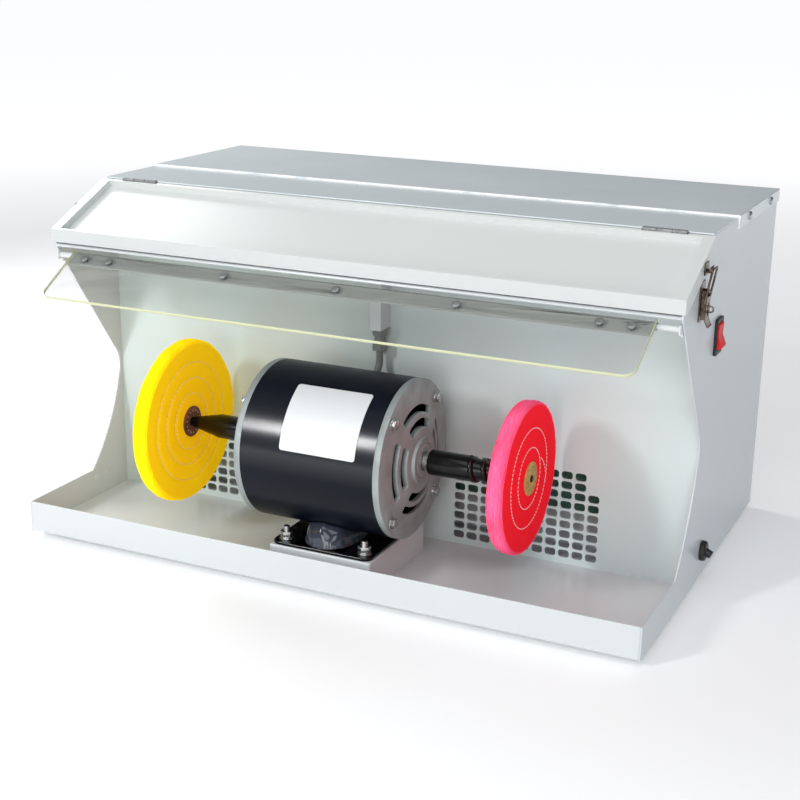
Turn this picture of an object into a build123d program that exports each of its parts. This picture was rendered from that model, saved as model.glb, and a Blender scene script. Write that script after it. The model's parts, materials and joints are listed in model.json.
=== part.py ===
from build123d import *
import os
from math import atan2, cos, pi, radians, sin, sqrt, tan

# A bench polisher for jewellery: a sheet-metal cabinet with a hood, a double-ended motor on a plinth in the
# open front bay, a buff on each arbor, and a filter and suction fan behind a perforated baffle.
#
# Millimetres. While the pieces are made, x = 0 is the middle of the cabinet, y = 0 the front face of the tray
# lip, +Y the rear, and z = 0 the underside of the tray. At the end everything moves so that the origin is the
# middle of the footprint at the underside of the feet.

# Clearances
RUNNING_CLEARANCE = 0.05    # radial, shafts and pins that turn
SLIP_CLEARANCE = 0.05       # radial, pieces that are pushed together
HOLE_CLEARANCE = 0.1        # radial, screw and stud holes
CUT = 1.0                   # how far a cutter runs past the face it cuts

# Cabinet
WIDTH = 590.0               # over the two side panels
DEPTH = 390.0               # lip face to rear panel
HEIGHT = 315.0              # tray underside to the top of the hinge strip
SHEET = 1.5                 # cabinet sheet
BEND_RADIUS = 2.5           # outside radius of a folded corner
LIP_HEIGHT = 29.5           # tray lip and the arms of the side panels
ARM_LENGTH = 96.0           # straight top of a side panel's arm
NOTCH_DEPTH = 148.0         # deepest point of the side panel's cut-back edge
NOTCH_MIDDLE_Z = 130.0      # height of that point
NOTCH_LOW = (2.0, 14.0)     # lower end of the notch's round tip, forward of and below that point
NOTCH_HIGH = (7.5, 16.0)    # upper end, forward of and above that point
NOTCH_BOW = (6.5, 2.0)      # how far the lower edge bows to the rear and down from its chord
FILTER_BAY = 46.0           # baffle face to partition face
COVER_FRONT_Y = 225.0       # front edge of the rear top cover
STRIP_LAP = 10.0            # hinge strip under the top cover
COVER_FLANGE = 11.5         # folded edge of the top cover
COVER_ROUND = 1.2           # rounding of the cover's folds

# Hood and lid
HOOD_FRONT_Y = 56.0         # front face of the lid's fascia
LID_RISE = 37.0             # from the fascia's top edge up to the hinge strip
FASCIA_HEIGHT = 12.0
FASCIA_GAP = 3.0            # fascia's lower edge above the underside of the hood floor
FASCIA_SETBACK = 1.0        # from the inside of the fascia back to the cabinet
HINGE_Y = 139.0             # lid hinge axis
HINGE_DROP = 1.0            # axis below the top of the hinge strip
RAIL_DROP = 1.5             # front rail below the hood floor
LID_SIDE_GAP = 0.5          # between lid flange and side panel
LID_RIM = 9.0               # flat rim beside the sunken lid panel
LID_FRONT_RIM = 2.5         # narrow rim in front of it
LID_RECESS = 6.0            # panel below the rim
LID_FLANGE = 14.0           # side flange, square to the slope
LID_LIFT = 3.0              # panel edge below the lid's rim plane
LID_HINGE_GAP = 0.8         # from the hinge axis to the lid and to the strip

# Lid hinges
HINGE_INSET = 40.0          # middle of each butt hinge from the side
KNUCKLE_LENGTH = 12.0
KNUCKLE_GAP = 0.5
KNUCKLE_RADIUS = 2.0
KNUCKLE_ROOM = 0.4          # between a knuckle and the rear wall of the lid's recess
HINGE_PIN_RADIUS = 1.25
HINGE_LEAF = 1.2            # leaf thickness
LEAF_LENGTH = 15.0          # fixed leaf under the strip
HINGE_NOTCH = 2.6           # notch of the strip behind the axis
HINGE_END_GAP = 1.0         # notch beyond the knuckles

# Perforated suction fields
FIELD_X = 140.25            # middle of each field
FIELD_COLUMNS = 11
FIELD_ROWS = 9
FIELD_STEP_X = 12.75
FIELD_STEP_Z = 9.35
FIELD_BOTTOM_Z = 11.0       # middle of the lowest row above the tray underside
FIELD_CORNER_ROWS = 2       # rows left out at the top of the outermost columns
HOLE_WIDTH = 10.4
HOLE_HEIGHT = 7.2
HOLE_CORNER = 2.8

# Motor
AXIS_Y = 67.0               # shaft axis behind the lip
SHELL_RADIUS = 70.0
SHELL_WALL = 2.5
SHELL_LEFT_X = -64.0
SHELL_RIGHT_X = 62.0
MOTOR_LIFT = 6.0            # shell above its base plate
MOTOR_GAP = 15.0            # shell in front of the baffle
BELL_RIM = 6.0              # thickness of a bell's rim
BELL_RIM_WIDTH = 10.0       # rim, measured inwards from the shell's outside
BELL_CROWN = 10.0           # how far the hub stands out from the rim face
BELL_WALL = 4.0
BELL_HUB_RADIUS = 20.5
BELL_HUB_STEP = 3.0         # hub face in front of the dish
BELL_SHOULDER = 6.0         # flat of the dish round the hub
BELL_DISH = 5.0             # wall of the dish at its hub
VENT_RADII = ((29.0, 36.4), (41.5, 48.0))
VENT_ANGLES = (0, 90, 180, 270)
VENT_HALF_ANGLE = 30.0
SHAFT_RADIUS = 7.0
SHAFT_GAP = 1.0             # radial, shaft through a bell's hub
BEARING_RADIUS = 16.0
BEARING_WIDTH = 10.0
STATOR_HALF_LENGTH = 22.0
ROTOR_RADIUS = 38.0
AIR_GAP = 0.5
WINDING_LENGTH = 14.0       # end turns beyond the stator core
WINDING_GAP = 3.0           # end turns round the rotor
WINDING_ROUND = 3.0
BOLT_INSET = 8.0            # through bolts inside the shell's outside
BOLT_SEAT = 6.0             # flat of the bell inside the bolt circle
BOLT_RADIUS = 2.5
BOLT_GAP = 0.5              # radial, bolt through the stator core
BOLT_HEAD = 4.0             # half the width across flats
BOLT_HEAD_HEIGHT = 4.0
BOLT_TAIL = 2.0             # bolt end beyond its nut
BOLT_ANGLES = (45, 135, 225, 315)
PLATE_X = (-26.0, 45.0)     # blank nameplate, along the shell
PLATE_ANGLES = (12.0, 63.0) # and round it, above the front horizontal
PLATE_THICKNESS = 0.4

# Cooling fan of the motor
COOLER_GAP = 18.0           # fan disc beyond the stator core
COOLER_RADIUS = 50.0
COOLER_DISC = 2.0
COOLER_HUB = (13.0, 5.0, 4.0)   # hub radius, and its length to the left and right of the disc's left face
COOLER_BLADE = (18.0, 49.0, 8.0, 1.6)   # inner and outer radius, reach from that face, thickness
COOLER_BLADES = 8

# Motor base
BASE_X = 5.0                # middle of the motor base
BASE_WIDTH = 96.0
BASE_DEPTH = 110.0
BASE_PLATE = 3.0
BASE_CORNER = 8.0
PLINTH_TOP_Z = 31.0
PLINTH_MARGIN = 1.0         # plinth beyond the base plate
SADDLE_WIDTH = 52.0
SADDLE_DEPTH = 92.0
SADDLE_FLANK = 16.0         # sloping front and rear of the saddle
SADDLE_ROUND = 6.0
STUD_SPACING_X = 76.0
STUD_SPACING_Y = 88.0
STUD_RADIUS = 3.0
STUD_RISE = 12.0            # stud above the base plate
STUD_TAIL = 2.0             # stud below its lower nut
NUT_FLAT = 5.0              # half the width across flats
NUT_HEIGHT = 5.0
WASHER_RADIUS = 6.5
WASHER_THICKNESS = 1.2

# Arbors and buffs, the left and the right one
ARBOR_RADIUS = 11.0
ARBOR_THROAT = 4.4          # taper radius where it enters the buff
ARBOR_TIP = 3.0
ARBOR_START_GAP = 6.0       # shaft seen between bell hub and arbor
ARBOR_OVERLAP = 20.0        # shaft length inside an arbor
ARBOR_END_GAP = 0.5         # bore beyond the shaft's end
SLEEVE_LENGTH = {-1: 41.0, 1: 37.0}
TAPER_LENGTH = {-1: 28.5, 1: 37.5}
THREAD_BEADS = 3            # coarse thread crests on the right taper
BEAD_RADIUS = 2.6
BEAD_SINK = 0.6             # centre of a crest below the taper's surface
BEAD_RUNOUT = 0.5           # plain taper after the last crest, in crests
SET_SCREW_RADIUS = 2.5
SET_SCREW_SINK = 0.5
BUFF_RADIUS = {-1: 76.0, 1: 66.0}
BUFF_THICKNESS = {-1: 15.0, 1: 14.0}
HUB_DISC_RADIUS = 14.5
HUB_DISC = 1.5
BUFF_EDGE = 3.0             # rounding of a buff's rim

# Shield
SHIELD_END_GAP = 21.0       # shield's end inside the side panel's outer face
SHIELD_THICKNESS = 3.0
SHIELD_REACH = 62.0         # from the pivot to the free edge
SHIELD_TAIL = 3.0           # behind the pivot
SHIELD_CORNER = 10.0
SHIELD_ANGLE = 30.0         # below the horizontal
SHIELD_SETBACK = 6.0        # pivot behind the fascia
SHIELD_DROP = 9.5           # pivot below the hood floor
SHIELD_TUBE = 3.5
SHIELD_LEAF = 1.5
SHIELD_LEAF_REACH = 14.0
SHIELD_PIN = 2.0
SHIELD_PIN_DEPTH = 12.0
SHIELD_PIN_GAP = 1.0        # bore beyond the pin's end
SHIELD_BOSS = 2.6
SHIELD_SIDE_GAP = 0.5       # between tube end and boss
SHIELD_SCREW_INSETS = (17.0, 43.0)      # end screws from the shield's ends
SHIELD_SCREW_STEP = 110.0   # between the middle screws
SHIELD_SCREW_Y = 9.0        # screws from the pivot
SHIELD_SCREW_HEAD = 1.6
SHIELD_SCREW_TAIL = 1.0
BRACKET_PLATE = (3.0, 17.0, 7.0)        # plate behind the pivot, from and to, and half its height
BRACKET_ARM = (4.0, 5.0, 4.0)           # arm in front of and behind the pivot, and half its height

# Toggle latches, measured outwards from a side panel and up from the keeper's lip
LATCH_Y = 111.0
LATCH_RISE = 12.0           # keeper's lip above the fascia's top edge
LATCH_BASE = (-40.0, -8.0)  # lower and upper end of the base plate
LATCH_HALF_WIDTH = 7.0
LATCH_SHEET = 1.2
LATCH_PIVOT = (3.6, -17.0)  # outwards, height
LATCH_PIN = 1.2
LATCH_EAR = (4.0, 5.0)      # from the latch middle
LATCH_EAR_WALL = 1.2        # metal round the pin
LEVER_FLANGE = (5.3, 6.3)
LEVER_LOW_Z = -44.0
LEVER_WEB = (5.0, 6.0)
LEVER_HEAD = 3.0            # web ends this far below the pivot, clear of the ears
LEVER_KICK = (5.0, 2.5)     # height and reach of the kicked-out finger end
LEVER_WALL = 1.0            # metal round the pin
LEVER_CHEEK = 1.8           # inner edge of a flange behind the pivot
LEVER_CHEEK_TOP = 0.2       # straight part of a flange ends this far below the pivot
LEVER_CHEEK_LOW = 1.0       # flange starts this far above the finger end
LOOP_PIVOT = (4.4, -25.0)
LOOP_WIRE = 0.9
LOOP_HALF_WIDTH = 7.6
LOOP_BAR = (9.2, 3.0)
LOOP_BEND = 1.2
LOOP_CLEARANCE = 0.1
LOOP_END_GAP = 0.1          # wire end inside the lever's flange
EYE_OUT = 11.0
EYE_Z = (-33.0, -27.0)
EYE_SLOT_Z = (-36.0, -25.0)
EYE_HALF = 0.75
EYE_SIDE_GAP = 0.75
EYE_WALL = 1.2
KEEPER_Z = (-2.5, 7.5)
KEEPER_HALF_WIDTH = 6.0
KEEPER_LIP_OUT = 5.4        # lip beyond the lid flange
KEEPER_UPTURN = 3.3

# Rocker switch and cord bush on the right side panel
SWITCH_SETBACK = 26.0       # middle behind the baffle's face
SWITCH_Z = 222.0
BEZEL_WIDTH = 21.5
BEZEL_HEIGHT = 31.0
BEZEL_THICKNESS = 2.5
BEZEL_CORNER = 2.0
WINDOW_WIDTH = 16.0
WINDOW_HEIGHT = 24.0
SWITCH_BODY_DEPTH = 20.0
SWITCH_WALL = 1.5
ROCKER_SIDE_GAP = 0.5
ROCKER_END_GAP = 1.0
ROCKER_TILT = 9.0
ROCKER_PIVOT_IN = 1.0       # pivot behind the panel face
ROCKER_PIN = 1.5
ROCKER_PIN_GAP = 0.3        # pin end inside the housing's wall
ROCKER_CREST = 6.5          # high ends of the rocker, out from its pivot
ROCKER_CREST_INSET = 0.6
ROCKER_CREST_ROUND = 1.5
ROCKER_VALLEY = 4.2         # hollow middle
ROCKER_SHOULDER = 2.0
ROCKER_HEEL = (5.0, 6.5)    # depth behind the pivot, and half height there
BUSH_SETBACK = 31.0         # middle behind the baffle's face
BUSH_Z = 25.0
BUSH_RADIUS = 9.0
BUSH_NECK = 6.0
BUSH_HEIGHT = 5.0
BUSH_ROUND = 2.0
BUSH_NUT = (8.5, 5.0)       # half the width across flats, height
BUSH_NECK_TAIL = 6.0        # neck behind the panel
BUSH_NOSE = (3.6, 9.5)      # radius, length
BUSH_NOSE_ROUND = 1.0
BUSH_NOSE_PLACE = (5.4, 1.0)    # middle of the nose, out from the panel and below the bush's middle
BUSH_NOSE_TURN = 115.0      # from straight up, so it droops

# Wire duct and motor cable
DUCT_X = -2.0
DUCT_WIDTH = 11.0
DUCT_DEPTH = 20.0
DUCT_GAP = 20.0             # lower end above the top of the motor shell
DUCT_SHEET = 1.2
GLAND_RADIUS = 5.0
GLAND_NUT = 6.5             # half the width across flats
GLAND_NUT_HEIGHT = 6.0
GLAND_BODY = 8.0
GLAND_NECK = 2.0            # neck above the duct's sheet
GLAND_WALL = 1.0
CABLE_RADIUS = 3.2
CABLE_BEND = 20.0
CABLE_START = 12.0          # cable end above the duct's bottom
CABLE_END = 1.0             # cable end inside the shell
CABLE_ENTRY_ANGLE = 35.0    # shell entry above the rear horizontal
CABLE_POCKET = 5.0          # relief in the stator core under the grommet
GROMMET_RADIUS = 6.5
GROMMET_GROOVE = 1.5        # neck smaller than the collar
GROMMET_COLLAR = (0.4, 3.0) # from and to, above the shell
GROMMET_TAIL = 2.0          # neck inside the shell

# Filter
FILTER_SETBACK = 20.0       # frame behind the baffle's face
FILTER_DEPTH = 18.0
FILTER_SIDE_GAP = 27.0      # frame inside the side panel's outer face, clear of the switch body
FILTER_BOTTOM_Z = 24.0
FILTER_TOP_GAP = 8.0        # below the hood floor
FILTER_RAIL = 20.0
FILTER_MAT = 12.0

# Suction fan
FAN_Z = 150.0
FAN_RADIUS = 92.0
FAN_EYE = 66.0
FAN_WIDTH = 46.0
FAN_BLADES = 14
FAN_BLADE = 1.5             # blade thickness
FAN_BLADE_LEAN = 30.0
FAN_BLADE_INSET = 1.0       # blade ends inside the shroud's edges
FAN_BLADE_SINK = 0.5        # blade edges in the shroud and back plate
FAN_HUB = (14.0, 20.0, 3.0) # radius, and its reach in front of and behind the back plate's rear face
FAN_SPINDLE = 6.0
FAN_SPINDLE_REACH = 18.0    # spindle end in front of the back plate's rear face
FAN_COLLAR = 12.0
FAN_COLLAR_GAP = 0.3        # between hub and collar
FAN_MOTOR_GAP = 6.0         # motor behind the back plate
FAN_MOTOR_RADIUS = 45.0
FAN_MOTOR_LENGTH = 62.0
FAN_MOTOR_ROUND = 4.0
FAN_RUNNING_GAP = 2.5       # between inlet ring and shroud
INLET_RADIUS = 62.0
INLET_LENGTH = 14.0
INLET_FLANGE = 86.0
BRACKET_SHEET = 2.0
FAN_BRACKET = (120.0, 30.0, 40.0, 70.0) # width, foot, rise above the fan axis, rib height

# Exhaust slots in the rear panel
EXHAUST_COLUMNS = 8
EXHAUST_ROWS = 12
EXHAUST_STEP = (24.0, 11.0)
EXHAUST_SLOT = (18.0, 5.0, 2.4)         # width, height, corner radius

# Feet and screws
FOOT_SIDE_INSET = 33.0
FOOT_FRONT_INSET = 42.0
FOOT_REAR_INSET = 30.0
FOOT_RADIUS = 11.0
FOOT_HEIGHT = 6.0
FOOT_CHAMFER = 1.0
FOOT_NECK = 4.0
FOOT_BEAD = (5.2, 3.0)      # radius, height
SCREW_RADIUS = 2.0
SCREW_HEAD = 3.8
SCREW_HEAD_HEIGHT = 2.2
SCREW_HEAD_ROUND = 1.2
SCREW_LENGTH = 8.0
SIDE_SCREW_INSETS = (37.0, 40.0)        # from the cover's front edge and from the rear panel
REAR_SCREW_INSET = 95.0     # outer rear screws from the sides

# Derived places in the cabinet
HALF = WIDTH / 2
INNER = HALF - SHEET
STRIP_Z = HEIGHT - SHEET
STRIP_REAR_Y = COVER_FRONT_Y + STRIP_LAP
REAR_Y = DEPTH - SHEET
BAFFLE_Y = AXIS_Y + SHELL_RADIUS + MOTOR_GAP
BAFFLE_REAR_Y = BAFFLE_Y + SHEET
PARTITION_Y = BAFFLE_Y + FILTER_BAY
PARTITION_REAR_Y = PARTITION_Y + SHEET
FASCIA_TOP_Z = HEIGHT - LID_RISE
FASCIA_BOTTOM_Z = FASCIA_TOP_Z - FASCIA_HEIGHT
HOOD_FLOOR_Z = FASCIA_BOTTOM_Z - FASCIA_GAP
HOOD_EDGE_Y = HOOD_FRONT_Y + SHEET + FASCIA_SETBACK
HINGE_Z = HEIGHT - HINGE_DROP
HINGE_PLACES = (-HALF + HINGE_INSET, HALF - HINGE_INSET)
HINGE_HALF_SPAN = 1.5 * KNUCKLE_LENGTH + KNUCKLE_GAP
LID_SLOPE = atan2(HINGE_Z - FASCIA_TOP_Z, HINGE_Y - HOOD_FRONT_Y)
HINGE_ALONG = (HINGE_Y - HOOD_FRONT_Y) / cos(LID_SLOPE)     # hinge axis up the lid's slope
LID_WALL_BACK = HINGE_ALONG - KNUCKLE_RADIUS - KNUCKLE_ROOM     # back of the recess's rear wall
LID_HALF = HALF + LID_SIDE_GAP + SHEET
LATCH_Z = FASCIA_TOP_Z + LATCH_RISE
SCREW_Z = HEIGHT + SHEET - COVER_FLANGE / 2
SIDE_SCREW_Y = (COVER_FRONT_Y + SIDE_SCREW_INSETS[0], DEPTH - SIDE_SCREW_INSETS[1])
REAR_SCREW_X = (-HALF + REAR_SCREW_INSET, 0.0, HALF - REAR_SCREW_INSET)
SCREW_HOLE = SCREW_RADIUS + HOLE_CLEARANCE
SHIELD_HALF = HALF - SHIELD_END_GAP
SHIELD_PIVOT_Y = HOOD_FRONT_Y + SHIELD_SETBACK
SHIELD_PIVOT_Z = HOOD_FLOOR_Z - SHIELD_DROP
SWITCH_Y = BAFFLE_Y + SWITCH_SETBACK
BUSH_Y = BAFFLE_Y + BUSH_SETBACK
DUCT_Y = BAFFLE_Y - DUCT_DEPTH / 2

# Derived places in the motor
BASE_PLATE_TOP_Z = PLINTH_TOP_Z + BASE_PLATE
AXIS_Z = BASE_PLATE_TOP_Z + MOTOR_LIFT + SHELL_RADIUS
MOTOR_X = (SHELL_LEFT_X + SHELL_RIGHT_X) / 2
SHELL_INSIDE = SHELL_RADIUS - SHELL_WALL
BELL_X = {-1: SHELL_LEFT_X - BELL_RIM, 1: SHELL_RIGHT_X + BELL_RIM}
BOLT_CIRCLE = SHELL_RADIUS - BOLT_INSET
DUCT_BOTTOM_Z = AXIS_Z + SHELL_RADIUS + DUCT_GAP
STATOR_X = (MOTOR_X - STATOR_HALF_LENGTH, MOTOR_X + STATOR_HALF_LENGTH)
STUD_TOP_Z = BASE_PLATE_TOP_Z + STUD_RISE

# Derived places behind the baffle
FILTER_HALF_WIDTH = HALF - FILTER_SIDE_GAP
FILTER_Y = (BAFFLE_Y + FILTER_SETBACK, BAFFLE_Y + FILTER_SETBACK + FILTER_DEPTH)
FILTER_Z = (FILTER_BOTTOM_Z, HOOD_FLOOR_Z - FILTER_TOP_GAP)
FAN_FRONT_Y = PARTITION_REAR_Y + INLET_LENGTH + FAN_RUNNING_GAP
FAN_BACK_Y = FAN_FRONT_Y + FAN_WIDTH
FAN_MOTOR_Y = FAN_BACK_Y + FAN_MOTOR_GAP


# Shape helpers

def block(x, y, z):
    """Box between two limits on each axis."""
    size = [limits[1] - limits[0] for limits in (x, y, z)]
    middle = [(limits[0] + limits[1]) / 2 for limits in (x, y, z)]
    return Pos(*middle) * Box(*size)


def rod_x(x, y, z, radius):
    """Cylinder along X between two limits."""
    return Pos((x[0] + x[1]) / 2, y, z) * Rot(0, 90, 0) * Cylinder(radius, x[1] - x[0])


def rod_y(x, y, z, radius):
    """Cylinder along Y between two limits."""
    return Pos(x, (y[0] + y[1]) / 2, z) * Rot(90, 0, 0) * Cylinder(radius, y[1] - y[0])


def rod_z(x, y, z, radius):
    """Cylinder along Z between two limits."""
    return Pos(x, y, (z[0] + z[1]) / 2) * Cylinder(radius, z[1] - z[0])


def past(limits):
    """The same limits with a cutter's overrun at both ends."""
    return (limits[0] - CUT, limits[1] + CUT)


def axis_rod(x, radius):
    """Cylinder about the motor axis."""
    return rod_x(x, AXIS_Y, AXIS_Z, radius)


def prism_x(points, x):
    """Polygon of (y, z) points pulled along X."""
    outline = Polyline(*[(x[0], y, z) for y, z in points], close=True)
    return extrude(make_face(outline), amount=x[1] - x[0], dir=(1, 0, 0))


def prism_y(points, y):
    """Polygon of (x, z) points pulled along Y."""
    outline = Polyline(*[(x, y[0], z) for x, z in points], close=True)
    return extrude(make_face(outline), amount=y[1] - y[0], dir=(0, 1, 0))


def folded_x(corner, upright_z, flat_y, x):
    """Folded sheet along X: an upright and a flat that meet at an outer corner (y, z), with a bent corner."""
    y, z = corner
    inner_y = y + SHEET
    inner_z = z + SHEET if upright_z > z else z - SHEET
    outline = [(y, upright_z), (y, z), (flat_y, z), (flat_y, inner_z), (inner_y, inner_z), (inner_y, upright_z)]
    sheet = prism_x(outline, x)
    for place, radius in (((0, y, z), BEND_RADIUS), ((0, inner_y, inner_z), BEND_RADIUS - SHEET)):
        fold = sheet.edges().filter_by(Axis.X).sort_by_distance(place)[0]
        sheet = fillet(fold, radius)
    return sheet


def turned_x(points):
    """Solid of revolution about the motor axis from (x, radius) points."""
    outline = Polyline(*[(x, AXIS_Y, AXIS_Z + radius) for x, radius in points], close=True)
    return revolve(make_face(outline), Axis((0, AXIS_Y, AXIS_Z), (1, 0, 0)), 360)


def turned_fan(points):
    """Solid of revolution about the fan axis from (y, radius) points."""
    outline = Polyline(*[(0, y, FAN_Z + radius) for y, radius in points], close=True)
    return revolve(make_face(outline), Axis((0, 0, FAN_Z), (0, 1, 0)), 360)


def hexagon(half_flat, height):
    """Hexagonal bar standing on the XY plane."""
    return extrude(RegularPolygon(half_flat, 6, major_radius=False), amount=height)


def hexagon_x(x, y, z, half_flat):
    """Hexagonal bar along X."""
    return Pos(x[0], y, z) * Rot(0, 90, 0) * hexagon(half_flat, x[1] - x[0])


def hexagon_z(x, y, z, half_flat):
    """Hexagonal bar along Z."""
    return Pos(x, y, z[0]) * hexagon(half_flat, z[1] - z[0])


def group(solids):
    """Separate solids of one kind kept in one node."""
    return Compound(children=list(solids))


def rim_z(y):
    """Height of the lid's rim plane at a depth y."""
    return FASCIA_TOP_Z + (y - HOOD_FRONT_Y) * tan(LID_SLOPE)


def perforated(x, z, holes, hole, y):
    """Upright sheet with rounded slots at (x, z) centres."""
    plane = Plane((0, y[0], 0), x_dir=(1, 0, 0), z_dir=(0, -1, 0))
    outer = Pos((x[0] + x[1]) / 2, (z[0] + z[1]) / 2) * Rectangle(x[1] - x[0], z[1] - z[0])
    slot = RectangleRounded(*hole)
    inner = [(Pos(hx, hz) * slot).face().outer_wire() for hx, hz in holes]
    sheet = Face(outer.face().outer_wire(), inner)
    return extrude(plane * sheet, amount=-(y[1] - y[0]), dir=(0, -1, 0))


# Cabinet

def foot_places():
    x = HALF - FOOT_SIDE_INSET
    return [(sign * x, y) for sign in (-1, 1) for y in (FOOT_FRONT_INSET, DEPTH - FOOT_REAR_INSET)]


def make_base_tray():
    tray = folded_x((0, 0), LIP_HEIGHT, REAR_Y, (-INNER, INNER))
    for x, y in foot_places():
        tray -= rod_z(x, y, past((0, SHEET)), FOOT_NECK)
    return tray


def make_feet():
    """Push-in rubber feet: pad, neck through the tray and a bead above it."""
    feet = []
    for x, y in foot_places():
        pad = rod_z(x, y, (-FOOT_HEIGHT, 0), FOOT_RADIUS)
        pad = chamfer(pad.edges().group_by(Axis.Z)[0], FOOT_CHAMFER)
        neck = rod_z(x, y, (0, SHEET), FOOT_NECK - SLIP_CLEARANCE)
        bead = rod_z(x, y, (SHEET, SHEET + FOOT_BEAD[1]), FOOT_BEAD[0])
        feet.append(pad + neck + bead)
    return group(feet)


def side_outline(x):
    """Closed outline of a side panel in the plane at x."""
    def at(y, z):
        return (x, y, z)

    notch_low = (NOTCH_DEPTH - NOTCH_LOW[0], NOTCH_MIDDLE_Z - NOTCH_LOW[1])
    notch_high = (NOTCH_DEPTH - NOTCH_HIGH[0], NOTCH_MIDDLE_Z + NOTCH_HIGH[1])
    chord = ((ARM_LENGTH + notch_low[0]) / 2, (LIP_HEIGHT + notch_low[1]) / 2)
    bow = (chord[0] + NOTCH_BOW[0], chord[1] - NOTCH_BOW[1])
    lift = LID_LIFT / cos(LID_SLOPE)
    slope_low = rim_z(HOOD_EDGE_Y) - lift
    slope_end = HINGE_Y - 2 * LID_HINGE_GAP
    slope_high = rim_z(slope_end) - lift
    strip_front = HINGE_Y + LID_HINGE_GAP
    edges = [
        Line(at(0, 0), at(0, LIP_HEIGHT)),
        Line(at(0, LIP_HEIGHT), at(ARM_LENGTH, LIP_HEIGHT)),
        ThreePointArc(at(ARM_LENGTH, LIP_HEIGHT), at(*bow), at(*notch_low)),
        ThreePointArc(at(*notch_low), at(NOTCH_DEPTH, NOTCH_MIDDLE_Z), at(*notch_high)),
        Polyline(
            at(*notch_high), at(HOOD_EDGE_Y, HOOD_FLOOR_Z - RAIL_DROP), at(HOOD_EDGE_Y, slope_low),
            at(slope_end, slope_high), at(strip_front, slope_high), at(strip_front, STRIP_Z),
            at(STRIP_REAR_Y, STRIP_Z), at(STRIP_REAR_Y, HEIGHT), at(DEPTH, HEIGHT), at(DEPTH, 0), at(0, 0),
        ),
    ]
    return make_face(Curve() + edges)


def make_side_panel(sign):
    panel = extrude(side_outline(INNER), amount=SHEET, dir=(1, 0, 0))
    through = past((INNER, HALF))
    for y in SIDE_SCREW_Y:
        panel -= rod_x(through, y, SCREW_Z, SCREW_HOLE)
    if sign < 0:
        return mirror(panel, about=Plane.YZ)
    cut_y = WINDOW_WIDTH / 2 + SWITCH_WALL + HOLE_CLEARANCE
    cut_z = WINDOW_HEIGHT / 2 + SWITCH_WALL + HOLE_CLEARANCE
    panel -= block(through, (SWITCH_Y - cut_y, SWITCH_Y + cut_y), (SWITCH_Z - cut_z, SWITCH_Z + cut_z))
    return panel - rod_x(through, BUSH_Y, BUSH_Z, BUSH_NECK + HOLE_CLEARANCE)


def field_holes(middle_x):
    """Centres of one suction field, with its two top corners stepped."""
    holes = []
    for column in range(FIELD_COLUMNS):
        outermost = column in (0, FIELD_COLUMNS - 1)
        rows = FIELD_ROWS - FIELD_CORNER_ROWS if outermost else FIELD_ROWS
        x = middle_x + (column - (FIELD_COLUMNS - 1) / 2) * FIELD_STEP_X
        holes += [(x, FIELD_BOTTOM_Z + row * FIELD_STEP_Z) for row in range(rows)]
    return holes


def make_baffle():
    holes = field_holes(-FIELD_X) + field_holes(FIELD_X)
    hole = (HOLE_WIDTH, HOLE_HEIGHT, HOLE_CORNER)
    return perforated((-INNER, INNER), (SHEET, HOOD_FLOOR_Z), holes, hole, (BAFFLE_Y, BAFFLE_REAR_Y))


def make_hood_floor():
    corner = (HOOD_EDGE_Y, HOOD_FLOOR_Z + SHEET)
    return folded_x(corner, HOOD_FLOOR_Z - RAIL_DROP, BAFFLE_REAR_Y, (-INNER, INNER))


def hinge_reach(x):
    """Room along X for one hinge and its end gaps."""
    return (x - HINGE_HALF_SPAN - HINGE_END_GAP, x + HINGE_HALF_SPAN + HINGE_END_GAP)


def make_hinge_strip():
    strip = block((-HALF, HALF), (HINGE_Y + LID_HINGE_GAP, STRIP_REAR_Y), (STRIP_Z, HEIGHT))
    for x in HINGE_PLACES:
        strip -= block(hinge_reach(x), (HINGE_Y, HINGE_Y + HINGE_NOTCH), past((STRIP_Z, HEIGHT)))
    return strip


def screw_places():
    """Cover screws as (x, y, outward sign along X, 0 for the rear ones)."""
    places = [(sign * (HALF + SHEET), y, sign) for sign in (-1, 1) for y in SIDE_SCREW_Y]
    return places + [(x, DEPTH + SHEET, 0) for x in REAR_SCREW_X]


def make_top_cover():
    """Rear top sheet with edges folded down over both sides and the rear."""
    top = HEIGHT + SHEET
    outer = block((-HALF - SHEET, HALF + SHEET), (COVER_FRONT_Y, DEPTH + SHEET), (top - COVER_FLANGE, top))
    inner = block((-HALF, HALF), (COVER_FRONT_Y - CUT, DEPTH), (0, HEIGHT))
    cover = outer - inner
    corners = cover.edges().filter_by(Axis.Z).sort_by(Axis.Y)[-2:]
    around = cover.faces().sort_by(Axis.Z)[-1].edges()
    folds = [edge for edge in around if edge.center().Y > COVER_FRONT_Y + CUT]
    cover = fillet(list(corners) + folds, COVER_ROUND)
    for x, y, direction in screw_places():
        if direction == 0:
            cover -= rod_y(x, past((DEPTH, DEPTH + SHEET)), SCREW_Z, SCREW_HOLE)
        else:
            cover -= rod_x(past((x - SHEET, x + SHEET)), y, SCREW_Z, SCREW_HOLE)
    return cover


def make_cabinet_screws():
    screws = []
    for x, y, direction in screw_places():
        head = Pos(0, 0, SCREW_HEAD_HEIGHT / 2) * Cylinder(SCREW_HEAD, SCREW_HEAD_HEIGHT)
        head = fillet(head.edges().group_by(Axis.Z)[-1], SCREW_HEAD_ROUND)
        screw = head + Pos(0, 0, -SCREW_LENGTH / 2) * Cylinder(SCREW_RADIUS, SCREW_LENGTH)
        turn = Rot(-90, 0, 0) if direction == 0 else Rot(0, 90 * direction, 0)
        screws.append(Pos(x, y, SCREW_Z) * turn * screw)
    return group(screws)


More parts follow.
